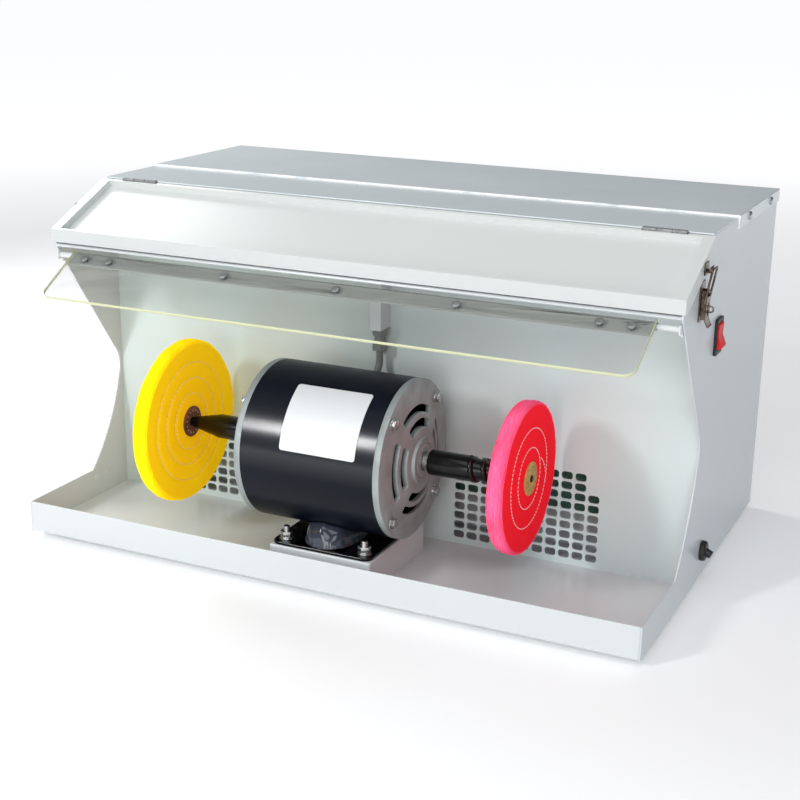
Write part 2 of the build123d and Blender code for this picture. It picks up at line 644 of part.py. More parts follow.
def make_rear_panel():
    holes = []
    for column in range(EXHAUST_COLUMNS):
        x = (column - (EXHAUST_COLUMNS - 1) / 2) * EXHAUST_STEP[0]
        for row in range(EXHAUST_ROWS):
            holes.append((x, FAN_Z + (row - (EXHAUST_ROWS - 1) / 2) * EXHAUST_STEP[1]))
    panel = perforated((-INNER, INNER), (0, HEIGHT), holes, EXHAUST_SLOT, (REAR_Y, DEPTH))
    for x in REAR_SCREW_X:
        panel -= rod_y(x, past((REAR_Y, DEPTH)), SCREW_Z, SCREW_HOLE)
    return panel


def make_fan_partition():
    wall = block((-INNER, INNER), (PARTITION_Y, PARTITION_REAR_Y), (SHEET, STRIP_Z))
    return wall - rod_y(0, past((PARTITION_Y, PARTITION_REAR_Y)), FAN_Z, INLET_RADIUS + SHEET)


# Lid, in the plane of its slope

def slope_block(x, along, normal):
    """Box in the lid's slope: x limits, limits up the slope and limits along its outward normal."""
    outward = (0, -sin(LID_SLOPE), cos(LID_SLOPE))
    plane = Plane((0, HOOD_FRONT_Y, FASCIA_TOP_Z), x_dir=(1, 0, 0), z_dir=outward)
    return plane.location * block(x, along, normal)


def make_lid():
    top_y = HINGE_Y - LID_HINGE_GAP
    drop = LID_FLANGE / cos(LID_SLOPE)
    flange_front = HOOD_FRONT_Y + (FASCIA_BOTTOM_Z + drop - FASCIA_TOP_Z) / tan(LID_SLOPE)
    outline = [
        (HOOD_FRONT_Y, FASCIA_BOTTOM_Z), (HOOD_FRONT_Y, FASCIA_TOP_Z), (top_y, rim_z(top_y)),
        (top_y, rim_z(top_y) - drop), (flange_front, FASCIA_BOTTOM_Z),
    ]
    envelope = prism_x(outline, (-LID_HALF, LID_HALF))
    under = SHEET / cos(LID_SLOPE)
    inner_front = HOOD_FRONT_Y + SHEET
    past_top = top_y + LID_RIM
    past_bottom = FASCIA_BOTTOM_Z - LID_RIM
    cavity = [
        (inner_front, past_bottom), (inner_front, rim_z(inner_front) - under),
        (past_top, rim_z(past_top) - under), (past_top, past_bottom),
    ]
    lid = envelope - prism_x(cavity, (-LID_HALF + SHEET, LID_HALF - SHEET))
    pan_x = LID_HALF - LID_RIM
    pan = (LID_FRONT_RIM, LID_WALL_BACK - SHEET)
    walls = ((-pan_x - SHEET, pan_x + SHEET), (pan[0] - SHEET, pan[1] + SHEET))
    lid += slope_block(*walls, (-LID_RECESS - SHEET, 0))
    lid -= slope_block((-pan_x, pan_x), pan, (-LID_RECESS, CUT))
    for x in HINGE_PLACES:
        lid -= slope_block(hinge_reach(x), (LID_WALL_BACK, HINGE_ALONG), (-LID_RECESS, CUT))
    return lid


# Lid hinges

def knuckle(x, position):
    """Limits and barrel of one knuckle: position is -1, 0 or 1 along the pin."""
    middle = x + position * (KNUCKLE_LENGTH + KNUCKLE_GAP)
    limits = (middle - KNUCKLE_LENGTH / 2, middle + KNUCKLE_LENGTH / 2)
    return limits, rod_x(limits, HINGE_Y, HINGE_Z, KNUCKLE_RADIUS)


def pin_bore(x):
    return rod_x(hinge_reach(x), HINGE_Y, HINGE_Z, HINGE_PIN_RADIUS + RUNNING_CLEARANCE)


def make_hinge_leaves():
    """Fixed leaves under the hinge strip, each with two outer knuckles."""
    leaves = []
    leaf_z = (STRIP_Z - HINGE_LEAF, STRIP_Z)
    for x in HINGE_PLACES:
        span = (x - HINGE_HALF_SPAN, x + HINGE_HALF_SPAN)
        leaf = block(span, (HINGE_Y + HINGE_NOTCH, HINGE_Y + LEAF_LENGTH), leaf_z)
        for position in (-1, 1):
            limits, barrel = knuckle(x, position)
            leaf += block(limits, (HINGE_Y, HINGE_Y + HINGE_NOTCH + CUT), leaf_z) + barrel
        leaves.append(leaf - pin_bore(x))
    return group(leaves)


def make_lid_hinge_leaves():
    """Leaves on the rear wall of the lid's recess, each with the middle knuckle."""
    leaves = []
    for x in HINGE_PLACES:
        limits, barrel = knuckle(x, 0)
        leaf = slope_block(limits, (LID_WALL_BACK, LID_WALL_BACK + HINGE_LEAF), (-LID_RECESS - SHEET, 0))
        leaves.append(leaf + barrel - pin_bore(x))
    return group(leaves)


def make_hinge_pins():
    spans = [(x - HINGE_HALF_SPAN, x + HINGE_HALF_SPAN) for x in HINGE_PLACES]
    return group([rod_x(span, HINGE_Y, HINGE_Z, HINGE_PIN_RADIUS) for span in spans])


# Toggle latches: made about the keeper's lip, then placed on a side panel

def across(half_low, half_high):
    """Limits on both sides of the latch's middle, along Y."""
    return [(half_low, half_high), (-half_high, -half_low)]


def on_side(latch_piece, sign):
    placed = Pos(HALF, LATCH_Y, LATCH_Z) * latch_piece
    return placed if sign > 0 else mirror(placed, about=Plane.YZ)


def latch_base():
    """Base plate with two ears, the lever's pin and an eye for a padlock."""
    base = block((0, LATCH_SHEET), (-LATCH_HALF_WIDTH, LATCH_HALF_WIDTH), LATCH_BASE)
    out, height = LATCH_PIVOT
    ear = LATCH_PIN + LATCH_EAR_WALL
    for limits in across(*LATCH_EAR):
        base += block((0, out), limits, (height - ear, height + ear)) + rod_y(out, limits, height, ear)
    base += rod_y(out, (-LEVER_FLANGE[1], LEVER_FLANGE[1]), height, LATCH_PIN)
    eye_radius = (EYE_Z[1] - EYE_Z[0]) / 2
    eye_out = EYE_OUT - eye_radius
    eye_z = EYE_Z[0] + eye_radius
    width = (-EYE_HALF, EYE_HALF)
    base += block((0, eye_out), width, EYE_Z) + rod_y(eye_out, width, eye_z, eye_radius)
    return base - rod_y(eye_out, past(width), eye_z, eye_radius - EYE_WALL)


def latch_lever():
    """Channel with a kicked-out finger end and a slot that lets the padlock eye through."""
    out, height = LATCH_PIVOT
    width = (-LEVER_FLANGE[1], LEVER_FLANGE[1])
    kick_z = LEVER_LOW_Z + LEVER_KICK[0]
    lever = block(LEVER_WEB, width, (kick_z, height - LEVER_HEAD))
    finger = [
        (LEVER_WEB[0], kick_z), (LEVER_WEB[1], kick_z),
        (LEVER_WEB[1] + LEVER_KICK[1], LEVER_LOW_Z), (LEVER_WEB[0] + LEVER_KICK[1], LEVER_LOW_Z),
    ]
    lever += prism_y(finger, width)
    cheek_z = (kick_z + LEVER_CHEEK_LOW, height - LEVER_CHEEK_TOP)
    for limits in across(*LEVER_FLANGE):
        lever += block((out - LEVER_CHEEK, LEVER_WEB[1]), limits, cheek_z)
        lever += rod_y(out, limits, height, LATCH_PIN + LEVER_WALL)
    lever -= rod_y(out, past(width), height, LATCH_PIN + RUNNING_CLEARANCE)
    lever -= rod_y(LOOP_PIVOT[0], past(width), LOOP_PIVOT[1], LOOP_WIRE + LOOP_CLEARANCE)
    slot = EYE_HALF + EYE_SIDE_GAP
    return lever - block((0, EYE_OUT), (-slot, slot), EYE_SLOT_Z)


def latch_loop():
    """Bent wire: two inturned ends in the lever, two legs and a bar in front of the keeper."""
    inner = LEVER_FLANGE[0] + LOOP_END_GAP
    outer = LOOP_HALF_WIDTH
    corners = [(-inner, LOOP_PIVOT), (-outer, LOOP_PIVOT), (-outer, LOOP_BAR)]
    corners += [(outer, LOOP_BAR), (outer, LOOP_PIVOT), (inner, LOOP_PIVOT)]
    points = [(place[0], half, place[1]) for half, place in corners]
    path = FilletPolyline(*points, radius=LOOP_BEND)
    return sweep(Plane(points[0], z_dir=(0, -1, 0)) * Circle(LOOP_WIRE), path=path)


def latch_keeper():
    """Hooked plate on the lid's side flange."""
    start = LID_HALF - HALF
    end = start + KEEPER_LIP_OUT
    width = (-KEEPER_HALF_WIDTH, KEEPER_HALF_WIDTH)
    keeper = block((start, start + LATCH_SHEET), width, KEEPER_Z)
    keeper += block((start, end), width, (0, LATCH_SHEET))
    return keeper + block((end - LATCH_SHEET, end), width, (0, LATCH_SHEET + KEEPER_UPTURN))


# Shield, made flat about its pivot and then tilted

def tilted(flat_piece):
    slope = radians(SHIELD_ANGLE)
    normal = (0, -sin(slope), cos(slope))
    plane = Plane((0, SHIELD_PIVOT_Y, SHIELD_PIVOT_Z), x_dir=(-1, 0, 0), z_dir=normal)
    return plane.location * flat_piece


def shield_screw_places():
    ends = [SHIELD_HALF - inset for inset in SHIELD_SCREW_INSETS]
    middle = [-SHIELD_SCREW_STEP, 0.0, SHIELD_SCREW_STEP]
    return [-place for place in ends] + middle + ends


def make_shield():
    """Acrylic sheet on top of the strip's leaf."""
    sheet_z = (SHIELD_TUBE, SHIELD_TUBE + SHIELD_THICKNESS)
    sheet = block((-SHIELD_HALF, SHIELD_HALF), (-SHIELD_TAIL, SHIELD_REACH), sheet_z)
    sheet = fillet(sheet.edges().filter_by(Axis.Z).sort_by(Axis.Y)[-2:], SHIELD_CORNER)
    for x in shield_screw_places():
        sheet -= rod_z(x, SHIELD_SCREW_Y, past(sheet_z), SCREW_HOLE)
    return tilted(sheet)


def make_shield_strip():
    """Pivot tube with a leaf along its whole length."""
    span = (-SHIELD_HALF, SHIELD_HALF)
    leaf_z = (SHIELD_TUBE - SHIELD_LEAF, SHIELD_TUBE)
    strip = rod_x(span, 0, 0, SHIELD_TUBE) + block(span, (0, SHIELD_LEAF_REACH), leaf_z)
    for x in shield_screw_places():
        strip -= rod_z(x, SHIELD_SCREW_Y, past(leaf_z), SCREW_HOLE)
    for sign in (-1, 1):
        ends = sorted((sign * (SHIELD_HALF - SHIELD_PIN_DEPTH - SHIELD_PIN_GAP), sign * (SHIELD_HALF + CUT)))
        strip -= rod_x(ends, 0, 0, SHIELD_PIN + RUNNING_CLEARANCE)
    return tilted(strip)


def make_shield_screws():
    sheet_top = SHIELD_TUBE + SHIELD_THICKNESS
    tail = SHIELD_TUBE - SHIELD_LEAF - SHIELD_SCREW_TAIL
    screws = []
    for x in shield_screw_places():
        head = rod_z(x, SHIELD_SCREW_Y, (sheet_top, sheet_top + SHIELD_SCREW_HEAD), SCREW_HEAD)
        screws.append(tilted(head + rod_z(x, SHIELD_SCREW_Y, (tail, sheet_top), SCREW_RADIUS)))
    return group(screws)


def make_shield_brackets():
    """Plate on each side panel, with a boss and a pin into the end of the shield tube."""
    y, z = SHIELD_PIVOT_Y, SHIELD_PIVOT_Z
    plate_from, plate_to, plate_half = BRACKET_PLATE
    arm_front, arm_rear, arm_half = BRACKET_ARM
    wall = (INNER - SHEET, INNER)
    bracket = block(wall, (y + plate_from, y + plate_to), (z - plate_half, z + plate_half))
    bracket += block(wall, (y - arm_front, y + arm_rear), (z - arm_half, z + arm_half))
    bracket += rod_x((SHIELD_HALF + SHIELD_SIDE_GAP, INNER), y, z, SHIELD_BOSS)
    bracket += rod_x((SHIELD_HALF - SHIELD_PIN_DEPTH, INNER), y, z, SHIELD_PIN)
    return group([bracket, mirror(bracket, about=Plane.YZ)])


# Rocker switch and cord bush

def around(middle, size):
    return (middle - size / 2, middle + size / 2)


def make_switch_housing():
    bezel = block((HALF, HALF + BEZEL_THICKNESS), around(SWITCH_Y, BEZEL_WIDTH), around(SWITCH_Z, BEZEL_HEIGHT))
    bezel = fillet(bezel.edges().filter_by(Axis.X), BEZEL_CORNER)
    body_y = around(SWITCH_Y, WINDOW_WIDTH + 2 * SWITCH_WALL)
    body_z = around(SWITCH_Z, WINDOW_HEIGHT + 2 * SWITCH_WALL)
    housing = bezel + block((HALF - SWITCH_BODY_DEPTH, HALF), body_y, body_z)
    hollow_x = (HALF - SWITCH_BODY_DEPTH + SWITCH_WALL, HALF + BEZEL_THICKNESS + CUT)
    housing -= block(hollow_x, around(SWITCH_Y, WINDOW_WIDTH), around(SWITCH_Z, WINDOW_HEIGHT))
    return housing - rod_y(HALF - ROCKER_PIVOT_IN, past(body_y), SWITCH_Z, ROCKER_PIN + RUNNING_CLEARANCE)


def make_switch_rocker():
    """Rocker with a hollow front, tilted with its upper end pressed in."""
    half_height = WINDOW_HEIGHT / 2 - ROCKER_END_GAP
    lower = [(-ROCKER_HEEL[0], -ROCKER_HEEL[1]), (ROCKER_SHOULDER, -half_height)]
    lower += [(ROCKER_CREST, -half_height + ROCKER_CREST_INSET)]
    upper = [(out, -height) for out, height in reversed(lower)]
    half_width = WINDOW_WIDTH / 2 - ROCKER_SIDE_GAP
    rocker = prism_y(lower + [(ROCKER_VALLEY, 0)] + upper, (-half_width, half_width))
    rocker = fillet(rocker.edges().filter_by(Axis.Y).group_by(Axis.X)[-1], ROCKER_CREST_ROUND)
    pin = WINDOW_WIDTH / 2 + SWITCH_WALL - ROCKER_PIN_GAP
    rocker += rod_y(0, (-pin, pin), 0, ROCKER_PIN)
    return Pos(HALF - ROCKER_PIVOT_IN, SWITCH_Y, SWITCH_Z) * Rot(0, -ROCKER_TILT, 0) * rocker


def make_cord_bush():
    """Bush for a mains lead: flange, short drooping nose, neck through the panel and inner nut."""
    flange = rod_x((HALF, HALF + BUSH_HEIGHT), BUSH_Y, BUSH_Z, BUSH_RADIUS)
    flange = fillet(flange.edges().group_by(Axis.X)[-1], BUSH_ROUND)
    neck = rod_x((INNER - BUSH_NECK_TAIL, HALF), BUSH_Y, BUSH_Z, BUSH_NECK)
    nut = hexagon_x((INNER - BUSH_NUT[1], INNER), BUSH_Y, BUSH_Z, BUSH_NUT[0])
    nose = Cylinder(*BUSH_NOSE)
    nose = fillet(nose.edges().group_by(Axis.Z)[-1], BUSH_NOSE_ROUND)
    place = Pos(HALF + BUSH_NOSE_PLACE[0], BUSH_Y, BUSH_Z - BUSH_NOSE_PLACE[1])
    return flange + neck + nut + place * Rot(0, BUSH_NOSE_TURN, 0) * nose


# Motor

def bolt_places():
    turns = [radians(angle) for angle in BOLT_ANGLES]
    return [(AXIS_Y + BOLT_CIRCLE * cos(turn), AXIS_Z + BOLT_CIRCLE * sin(turn)) for turn in turns]


def make_motor_shell():
    shell = axis_rod((SHELL_LEFT_X, SHELL_RIGHT_X), SHELL_RADIUS)
    shell -= axis_rod(past((SHELL_LEFT_X, SHELL_RIGHT_X)), SHELL_INSIDE)
    hole = GROMMET_RADIUS - GROMMET_GROOVE + HOLE_CLEARANCE
    return shell - cable_entry(SHELL_INSIDE - GROMMET_RADIUS, SHELL_RADIUS + GROMMET_RADIUS, hole)


def vent_arcs(low, high, x):
    """Arc-shaped cutters on one ring, between two places along X."""
    plane = Plane((x[0], AXIS_Y, AXIS_Z), x_dir=(0, 1, 0), z_dir=(1, 0, 0))
    arcs = Sketch()
    for angle in VENT_ANGLES:
        arc = CenterArc((0, 0), (low + high) / 2, angle - VENT_HALF_ANGLE, 2 * VENT_HALF_ANGLE)
        arcs += SlotArc(arc, high - low)
    return extrude(plane * arcs, amount=x[1] - x[0])


def make_end_bell(sign):
    """Dished end bell whose rim meets the shell, with the bearing's seat in its hub; sign is the way it faces."""
    face = BELL_X[sign]
    crown = face + sign * BELL_CROWN
    rim_inside = face - sign * BELL_RIM
    dish = crown - sign * BELL_HUB_STEP
    seat_end = crown - sign * BELL_WALL
    hub_inside = seat_end - sign * BEARING_WIDTH
    shoulder = BELL_HUB_RADIUS + BELL_SHOULDER
    rim_radius = SHELL_RADIUS - BELL_RIM_WIDTH
    seat = BEARING_RADIUS + SLIP_CLEARANCE
    shaft_hole = SHAFT_RADIUS + SHAFT_GAP
    bell = turned_x([
        (rim_inside, SHELL_RADIUS), (face, SHELL_RADIUS), (face, BOLT_CIRCLE - BOLT_SEAT), (dish, shoulder),
        (dish, BELL_HUB_RADIUS), (crown, BELL_HUB_RADIUS), (crown, shaft_hole), (seat_end, shaft_hole),
        (seat_end, seat), (hub_inside, seat), (hub_inside, BELL_HUB_RADIUS), (dish - sign * BELL_DISH, shoulder),
        (face - sign * BELL_WALL, rim_radius), (rim_inside, rim_radius),
    ])
    through = past(sorted((rim_inside, crown)))
    for low, high in VENT_RADII:
        bell -= vent_arcs(low, high, through)
    for y, z in bolt_places():
        bell -= rod_x(through, y, z, BOLT_RADIUS + HOLE_CLEARANCE)
    return bell


def make_stator_core():
    core = axis_rod(STATOR_X, SHELL_INSIDE - SLIP_CLEARANCE)
    core -= axis_rod(past(STATOR_X), ROTOR_RADIUS + AIR_GAP)
    for y, z in bolt_places():
        core -= rod_x(past(STATOR_X), y, z, BOLT_RADIUS + BOLT_GAP)
    return core - cable_entry(SHELL_INSIDE - CABLE_POCKET, SHELL_RADIUS, GROMMET_RADIUS)


def make_stator_windings():
    """End turns on both faces of the stator core."""
    coils = []
    for sign, face in zip((-1, 1), STATOR_X):
        limits = sorted((face, face + sign * WINDING_LENGTH))
        ring = axis_rod(limits, BOLT_CIRCLE - BOLT_SEAT)
        ring -= axis_rod(past(limits), ROTOR_RADIUS + WINDING_GAP)
        free_end = ring.edges().group_by(Axis.X)[0 if sign < 0 else -1]
        coils.append(fillet(free_end, WINDING_ROUND))
    return group(coils)


def make_motor_bearings():
    bearings = []
    for sign, face in BELL_X.items():
        outer = face + sign * (BELL_CROWN - BELL_WALL)
        limits = sorted((outer, outer - sign * BEARING_WIDTH))
        ring = axis_rod(limits, BEARING_RADIUS)
        bearings.append(ring - axis_rod(past(limits), SHAFT_RADIUS + RUNNING_CLEARANCE))
    return group(bearings)


def make_through_bolts():
    """Four long bolts with heads on the right bell and nuts on the left."""
    left, right = BELL_X[-1], BELL_X[1]
    nut_x = (left - BOLT_HEAD_HEIGHT, left)
    solids = []
    for y, z in bolt_places():
        shank = rod_x((nut_x[0] - BOLT_TAIL, right), y, z, BOLT_RADIUS)
        solids.append(shank + hexagon_x((right, right + BOLT_HEAD_HEIGHT), y, z, BOLT_HEAD))
        thread = rod_x(past(nut_x), y, z, BOLT_RADIUS + SLIP_CLEARANCE)
        solids.append(hexagon_x(nut_x, y, z, BOLT_HEAD) - thread)
    return group(solids)


def make_nameplate():
    """Blank curved plate on the front of the shell."""
    start, end = (180 - angle for angle in reversed(PLATE_ANGLES))
    plane = Plane((PLATE_X[0], AXIS_Y, AXIS_Z), x_dir=(0, 1, 0), z_dir=(1, 0, 0))
    inner = SHELL_RADIUS + SLIP_CLEARANCE
    outer = inner + PLATE_THICKNESS

    def at(radius, angle):
        return (radius * cos(radians(angle)), radius * sin(radians(angle)))

    edges = [
        ThreePointArc(at(inner, start), at(inner, (start + end) / 2), at(inner, end)),
        Line(at(inner, end), at(outer, end)),
        ThreePointArc(at(outer, end), at(outer, (start + end) / 2), at(outer, start)),
        Line(at(outer, start), at(inner, start)),
    ]
    return extrude(plane * make_face(Curve() + edges), amount=PLATE_X[1] - PLATE_X[0])


# Motor base

def base_limits(margin):
    return around(BASE_X, BASE_WIDTH + 2 * margin), around(AXIS_Y, BASE_DEPTH + 2 * margin)


def stud_places():
    return [(x, y) for x in around(BASE_X, STUD_SPACING_X) for y in around(AXIS_Y, STUD_SPACING_Y)]


def make_motor_plinth():
    """Folded box, open below, standing on the tray."""
    x, y = base_limits(PLINTH_MARGIN)
    box = block(x, y, (SHEET, PLINTH_TOP_Z))
    box = fillet(box.edges().filter_by(Axis.Z) + box.edges().group_by(Axis.Z)[-1], SHEET)
    inner_x, inner_y = base_limits(PLINTH_MARGIN - SHEET)
    plinth = box - block(inner_x, inner_y, (0, PLINTH_TOP_Z - SHEET))
    for px, py in stud_places():
        plinth -= rod_z(px, py, past((0, PLINTH_TOP_Z)), STUD_RADIUS + HOLE_CLEARANCE)
    return plinth


def make_motor_base_plate():
    x, y = base_limits(0)
    plate = block(x, y, (PLINTH_TOP_Z, BASE_PLATE_TOP_Z))
    plate = fillet(plate.edges().filter_by(Axis.Z), BASE_CORNER)
    for px, py in stud_places():
        plate -= rod_z(px, py, past((PLINTH_TOP_Z, BASE_PLATE_TOP_Z)), STUD_RADIUS + HOLE_CLEARANCE)
    return plate


def make_motor_saddle():
    """Pressed cradle between the base plate and the shell."""
    seat = SHELL_RADIUS + SLIP_CLEARANCE
    foot_y = around(AXIS_Y, SADDLE_DEPTH)
    top_half = SADDLE_DEPTH / 2 - SADDLE_FLANK
    top_z = AXIS_Z - sqrt(seat ** 2 - top_half ** 2)
    outline = [
        (foot_y[0], BASE_PLATE_TOP_Z), (AXIS_Y - top_half, top_z), (AXIS_Y + top_half, top_z),
        (foot_y[1], BASE_PLATE_TOP_Z),
    ]
    saddle = prism_x(outline, around(BASE_X, SADDLE_WIDTH))
    saddle = fillet(saddle.edges().filter_by(Axis.X).group_by(Axis.Z)[-1], SADDLE_ROUND)
    return saddle - axis_rod((SHELL_LEFT_X, SHELL_RIGHT_X), seat)


def make_base_fasteners():
    """Studs with their nuts and washers, and nuts below the plinth top."""
    low = PLINTH_TOP_Z - SHEET - NUT_HEIGHT
    washer_z = (BASE_PLATE_TOP_Z, BASE_PLATE_TOP_Z + WASHER_THICKNESS)
    solids = []
    for x, y in stud_places():
        stud_z = (low - STUD_TAIL, STUD_TOP_Z)
        thread = rod_z(x, y, past(stud_z), STUD_RADIUS + SLIP_CLEARANCE)
        solids.append(rod_z(x, y, stud_z, STUD_RADIUS))
        solids.append(rod_z(x, y, washer_z, WASHER_RADIUS) - thread)
        for start in (washer_z[1], low):
            solids.append(hexagon_z(x, y, (start, start + NUT_HEIGHT), NUT_FLAT) - thread)
    return group(solids)


# Rotor: shaft, core, cooling fan, arbors and buffs

def arbor_start(sign):
    return BELL_X[sign] + sign * (BELL_CROWN + ARBOR_START_GAP)


def taper_start(sign):
    return arbor_start(sign) + sign * SLEEVE_LENGTH[sign]


def throat_x(sign):
    """Where the taper enters the inner hub disc."""
    return taper_start(sign) + sign * TAPER_LENGTH[sign]


def tip_x(sign):
    """Outer face of the outer hub disc."""
    return throat_x(sign) + sign * (BUFF_THICKNESS[sign] + 2 * HUB_DISC)


def buff_limits(sign):
    inner = throat_x(sign) + sign * HUB_DISC
    return sorted((inner, inner + sign * BUFF_THICKNESS[sign]))


def make_motor_shaft():
    return axis_rod((arbor_start(-1) - ARBOR_OVERLAP, arbor_start(1) + ARBOR_OVERLAP), SHAFT_RADIUS)


def make_rotor_core():
    return axis_rod(STATOR_X, ROTOR_RADIUS) - axis_rod(past(STATOR_X), SHAFT_RADIUS + SLIP_CLEARANCE)


def make_cooling_fan():
    """Disc with straight blades behind the right bell's vents."""
    face = STATOR_X[1] + COOLER_GAP
    hub_radius, hub_left, hub_right = COOLER_HUB
    inner, outer, reach, thickness = COOLER_BLADE
    fan = axis_rod((face, face + COOLER_DISC), COOLER_RADIUS)
    fan += axis_rod((face - hub_left, face + hub_right), hub_radius)
    blade = block((face + COOLER_DISC / 2, face + reach), around(AXIS_Y, thickness), (AXIS_Z + inner, AXIS_Z + outer))
    for number in range(COOLER_BLADES):
        fan += blade.rotate(Axis((0, AXIS_Y, AXIS_Z), (1, 0, 0)), number * 360 / COOLER_BLADES)
    return fan - axis_rod(past((face - hub_left, face + reach)), SHAFT_RADIUS + SLIP_CLEARANCE)


def make_arbor(sign):
    """Sleeve on the shaft, then a taper that ends in the buff; the right one has a coarse thread."""
    start, taper, throat, tip = arbor_start(sign), taper_start(sign), throat_x(sign), tip_x(sign)
    arbor = turned_x([
        (start, 0), (start, ARBOR_RADIUS), (taper, ARBOR_RADIUS), (throat, ARBOR_THROAT), (tip, ARBOR_TIP), (tip, 0),
    ])
    if sign > 0:
        step = (throat - taper) / (THREAD_BEADS + BEAD_RUNOUT)
        for number in range(THREAD_BEADS):
            x = taper + (number + BEAD_RUNOUT) * step
            surface = ARBOR_RADIUS + (x - taper) / (throat - taper) * (ARBOR_THROAT - ARBOR_RADIUS)
            crest = Rot(0, 90, 0) * Torus(surface - BEAD_SINK, BEAD_RADIUS)
            arbor += Pos(x, AXIS_Y, AXIS_Z) * crest
    bore = sorted((start - sign * CUT, start + sign * (ARBOR_OVERLAP + ARBOR_END_GAP)))
    arbor -= axis_rod(bore, SHAFT_RADIUS + SLIP_CLEARANCE)
    hole_z = (AXIS_Z, AXIS_Z + ARBOR_RADIUS + CUT)
    return arbor - rod_z(set_screw_x(sign), AXIS_Y, hole_z, SET_SCREW_RADIUS + SLIP_CLEARANCE)


def set_screw_x(sign):
    return arbor_start(sign) + sign * ARBOR_OVERLAP / 2


def make_arbor_set_screws():
    limits = (AXIS_Z + SHAFT_RADIUS + SLIP_CLEARANCE, AXIS_Z + ARBOR_RADIUS - SET_SCREW_SINK)
    return group([rod_z(set_screw_x(sign), AXIS_Y, limits, SET_SCREW_RADIUS) for sign in (-1, 1)])


def arbor_bore(sign, limits):
    """Tapered hole that fits the arbor between two places along X."""
    throat, tip = throat_x(sign), tip_x(sign)
    outline = [(limits[0], 0)]
    for x in limits:
        radius = ARBOR_THROAT + (x - throat) / (tip - throat) * (ARBOR_TIP - ARBOR_THROAT)
        outline.append((x, radius + SLIP_CLEARANCE))
    return turned_x(outline + [(limits[1], 0)])


def make_buff(sign):
    limits = buff_limits(sign)
    buff = axis_rod(limits, BUFF_RADIUS[sign])
    return fillet(buff.edges(), BUFF_EDGE) - arbor_bore(sign, limits)


def make_hub_discs(sign):
    low, high = buff_limits(sign)
    discs = []
    for limits in ((low - HUB_DISC, low), (high, high + HUB_DISC)):
        discs.append(axis_rod(limits, HUB_DISC_RADIUS) - arbor_bore(sign, limits))
    return group(discs)


# Wire duct and motor cable

def make_wire_duct():
    """Channel on the baffle, closed below, open to the baffle and to the hood floor."""
    y = (BAFFLE_Y - DUCT_DEPTH, BAFFLE_Y)
    z = (DUCT_BOTTOM_Z, HOOD_FLOOR_Z)
    duct = block(around(DUCT_X, DUCT_WIDTH), y, z)
    hollow_x = around(DUCT_X, DUCT_WIDTH - 2 * DUCT_SHEET)
    duct -= block(hollow_x, (y[0] + DUCT_SHEET, y[1] + CUT), (z[0] + DUCT_SHEET, z[1] + CUT))
    neck = CABLE_RADIUS + GLAND_WALL + HOLE_CLEARANCE
    return duct - rod_z(DUCT_X, DUCT_Y, past((z[0], z[0] + DUCT_SHEET)), neck)


def make_cable_gland():
    """Hexagon under the duct, round body and clamp nut, all on the cable."""
    hexagon_low = DUCT_BOTTOM_Z - GLAND_NUT_HEIGHT
    body_low = hexagon_low - GLAND_BODY
    nut_low = body_low - GLAND_NUT_HEIGHT
    neck_top = DUCT_BOTTOM_Z + DUCT_SHEET + GLAND_NECK
    body = hexagon_z(DUCT_X, DUCT_Y, (hexagon_low, DUCT_BOTTOM_Z), GLAND_NUT)
    body += rod_z(DUCT_X, DUCT_Y, (DUCT_BOTTOM_Z, neck_top), CABLE_RADIUS + GLAND_WALL)
    body += rod_z(DUCT_X, DUCT_Y, (body_low, hexagon_low), GLAND_RADIUS)
    nut = hexagon_z(DUCT_X, DUCT_Y, (nut_low, body_low), GLAND_NUT)
    bore = rod_z(DUCT_X, DUCT_Y, past((nut_low, neck_top)), CABLE_RADIUS + SLIP_CLEARANCE)
    return group([body - bore, nut - bore])


def cable_point(distance):
    """Point on the cable's way into the shell, at a distance from the motor axis."""
    turn = radians(CABLE_ENTRY_ANGLE)
    return (DUCT_X, AXIS_Y + distance * cos(turn), AXIS_Z + distance * sin(turn))


def cable_entry(start, end, radius):
    """Cylinder along the cable's way into the shell, between two distances from the motor axis."""
    turn = radians(CABLE_ENTRY_ANGLE)
    plane = Plane(cable_point(start), x_dir=(1, 0, 0), z_dir=(0, cos(turn), sin(turn)))
    return extrude(plane * Circle(radius), amount=end - start)


def make_cable_grommet():
    start = SHELL_INSIDE - GROMMET_TAIL
    collar = [SHELL_RADIUS + rise for rise in GROMMET_COLLAR]
    grommet = cable_entry(start, collar[1], GROMMET_RADIUS - GROMMET_GROOVE)
    grommet += cable_entry(*collar, GROMMET_RADIUS)
    return grommet - cable_entry(*past((start, collar[1])), CABLE_RADIUS + SLIP_CLEARANCE)


def make_motor_cable():
    """Cable from inside the duct down through the gland and forwards into the shell."""
    start = (DUCT_X, DUCT_Y, DUCT_BOTTOM_Z + CABLE_START)
    corner = cable_point((DUCT_Y - AXIS_Y) / cos(radians(CABLE_ENTRY_ANGLE)))
    end = cable_point(SHELL_INSIDE - CABLE_END)
    path = FilletPolyline(start, corner, end, radius=CABLE_BEND)
    cable = sweep(Plane(start, z_dir=(0, 0, -1)) * Circle(CABLE_RADIUS), path=path)
    share = cable.volume / (pi * CABLE_RADIUS ** 2 * path.length)
    print("motor cable length", round(path.length, 1), "bend", CABLE_BEND, "volume share", round(share, 4))
    return cable


# Filter and suction fan

def make_filter_frame():
    x = (-FILTER_HALF_WIDTH, FILTER_HALF_WIDTH)
    frame = block(x, FILTER_Y, FILTER_Z)
    window_x = (x[0] + FILTER_RAIL, x[1] - FILTER_RAIL)
    window_z = (FILTER_Z[0] + FILTER_RAIL, FILTER_Z[1] - FILTER_RAIL)
    frame -= block(window_x, past(FILTER_Y), window_z)
    for leg in ((x[0], window_x[0]), (window_x[1], x[1])):
        frame += block(leg, FILTER_Y, (SHEET, FILTER_Z[0]))
    return frame


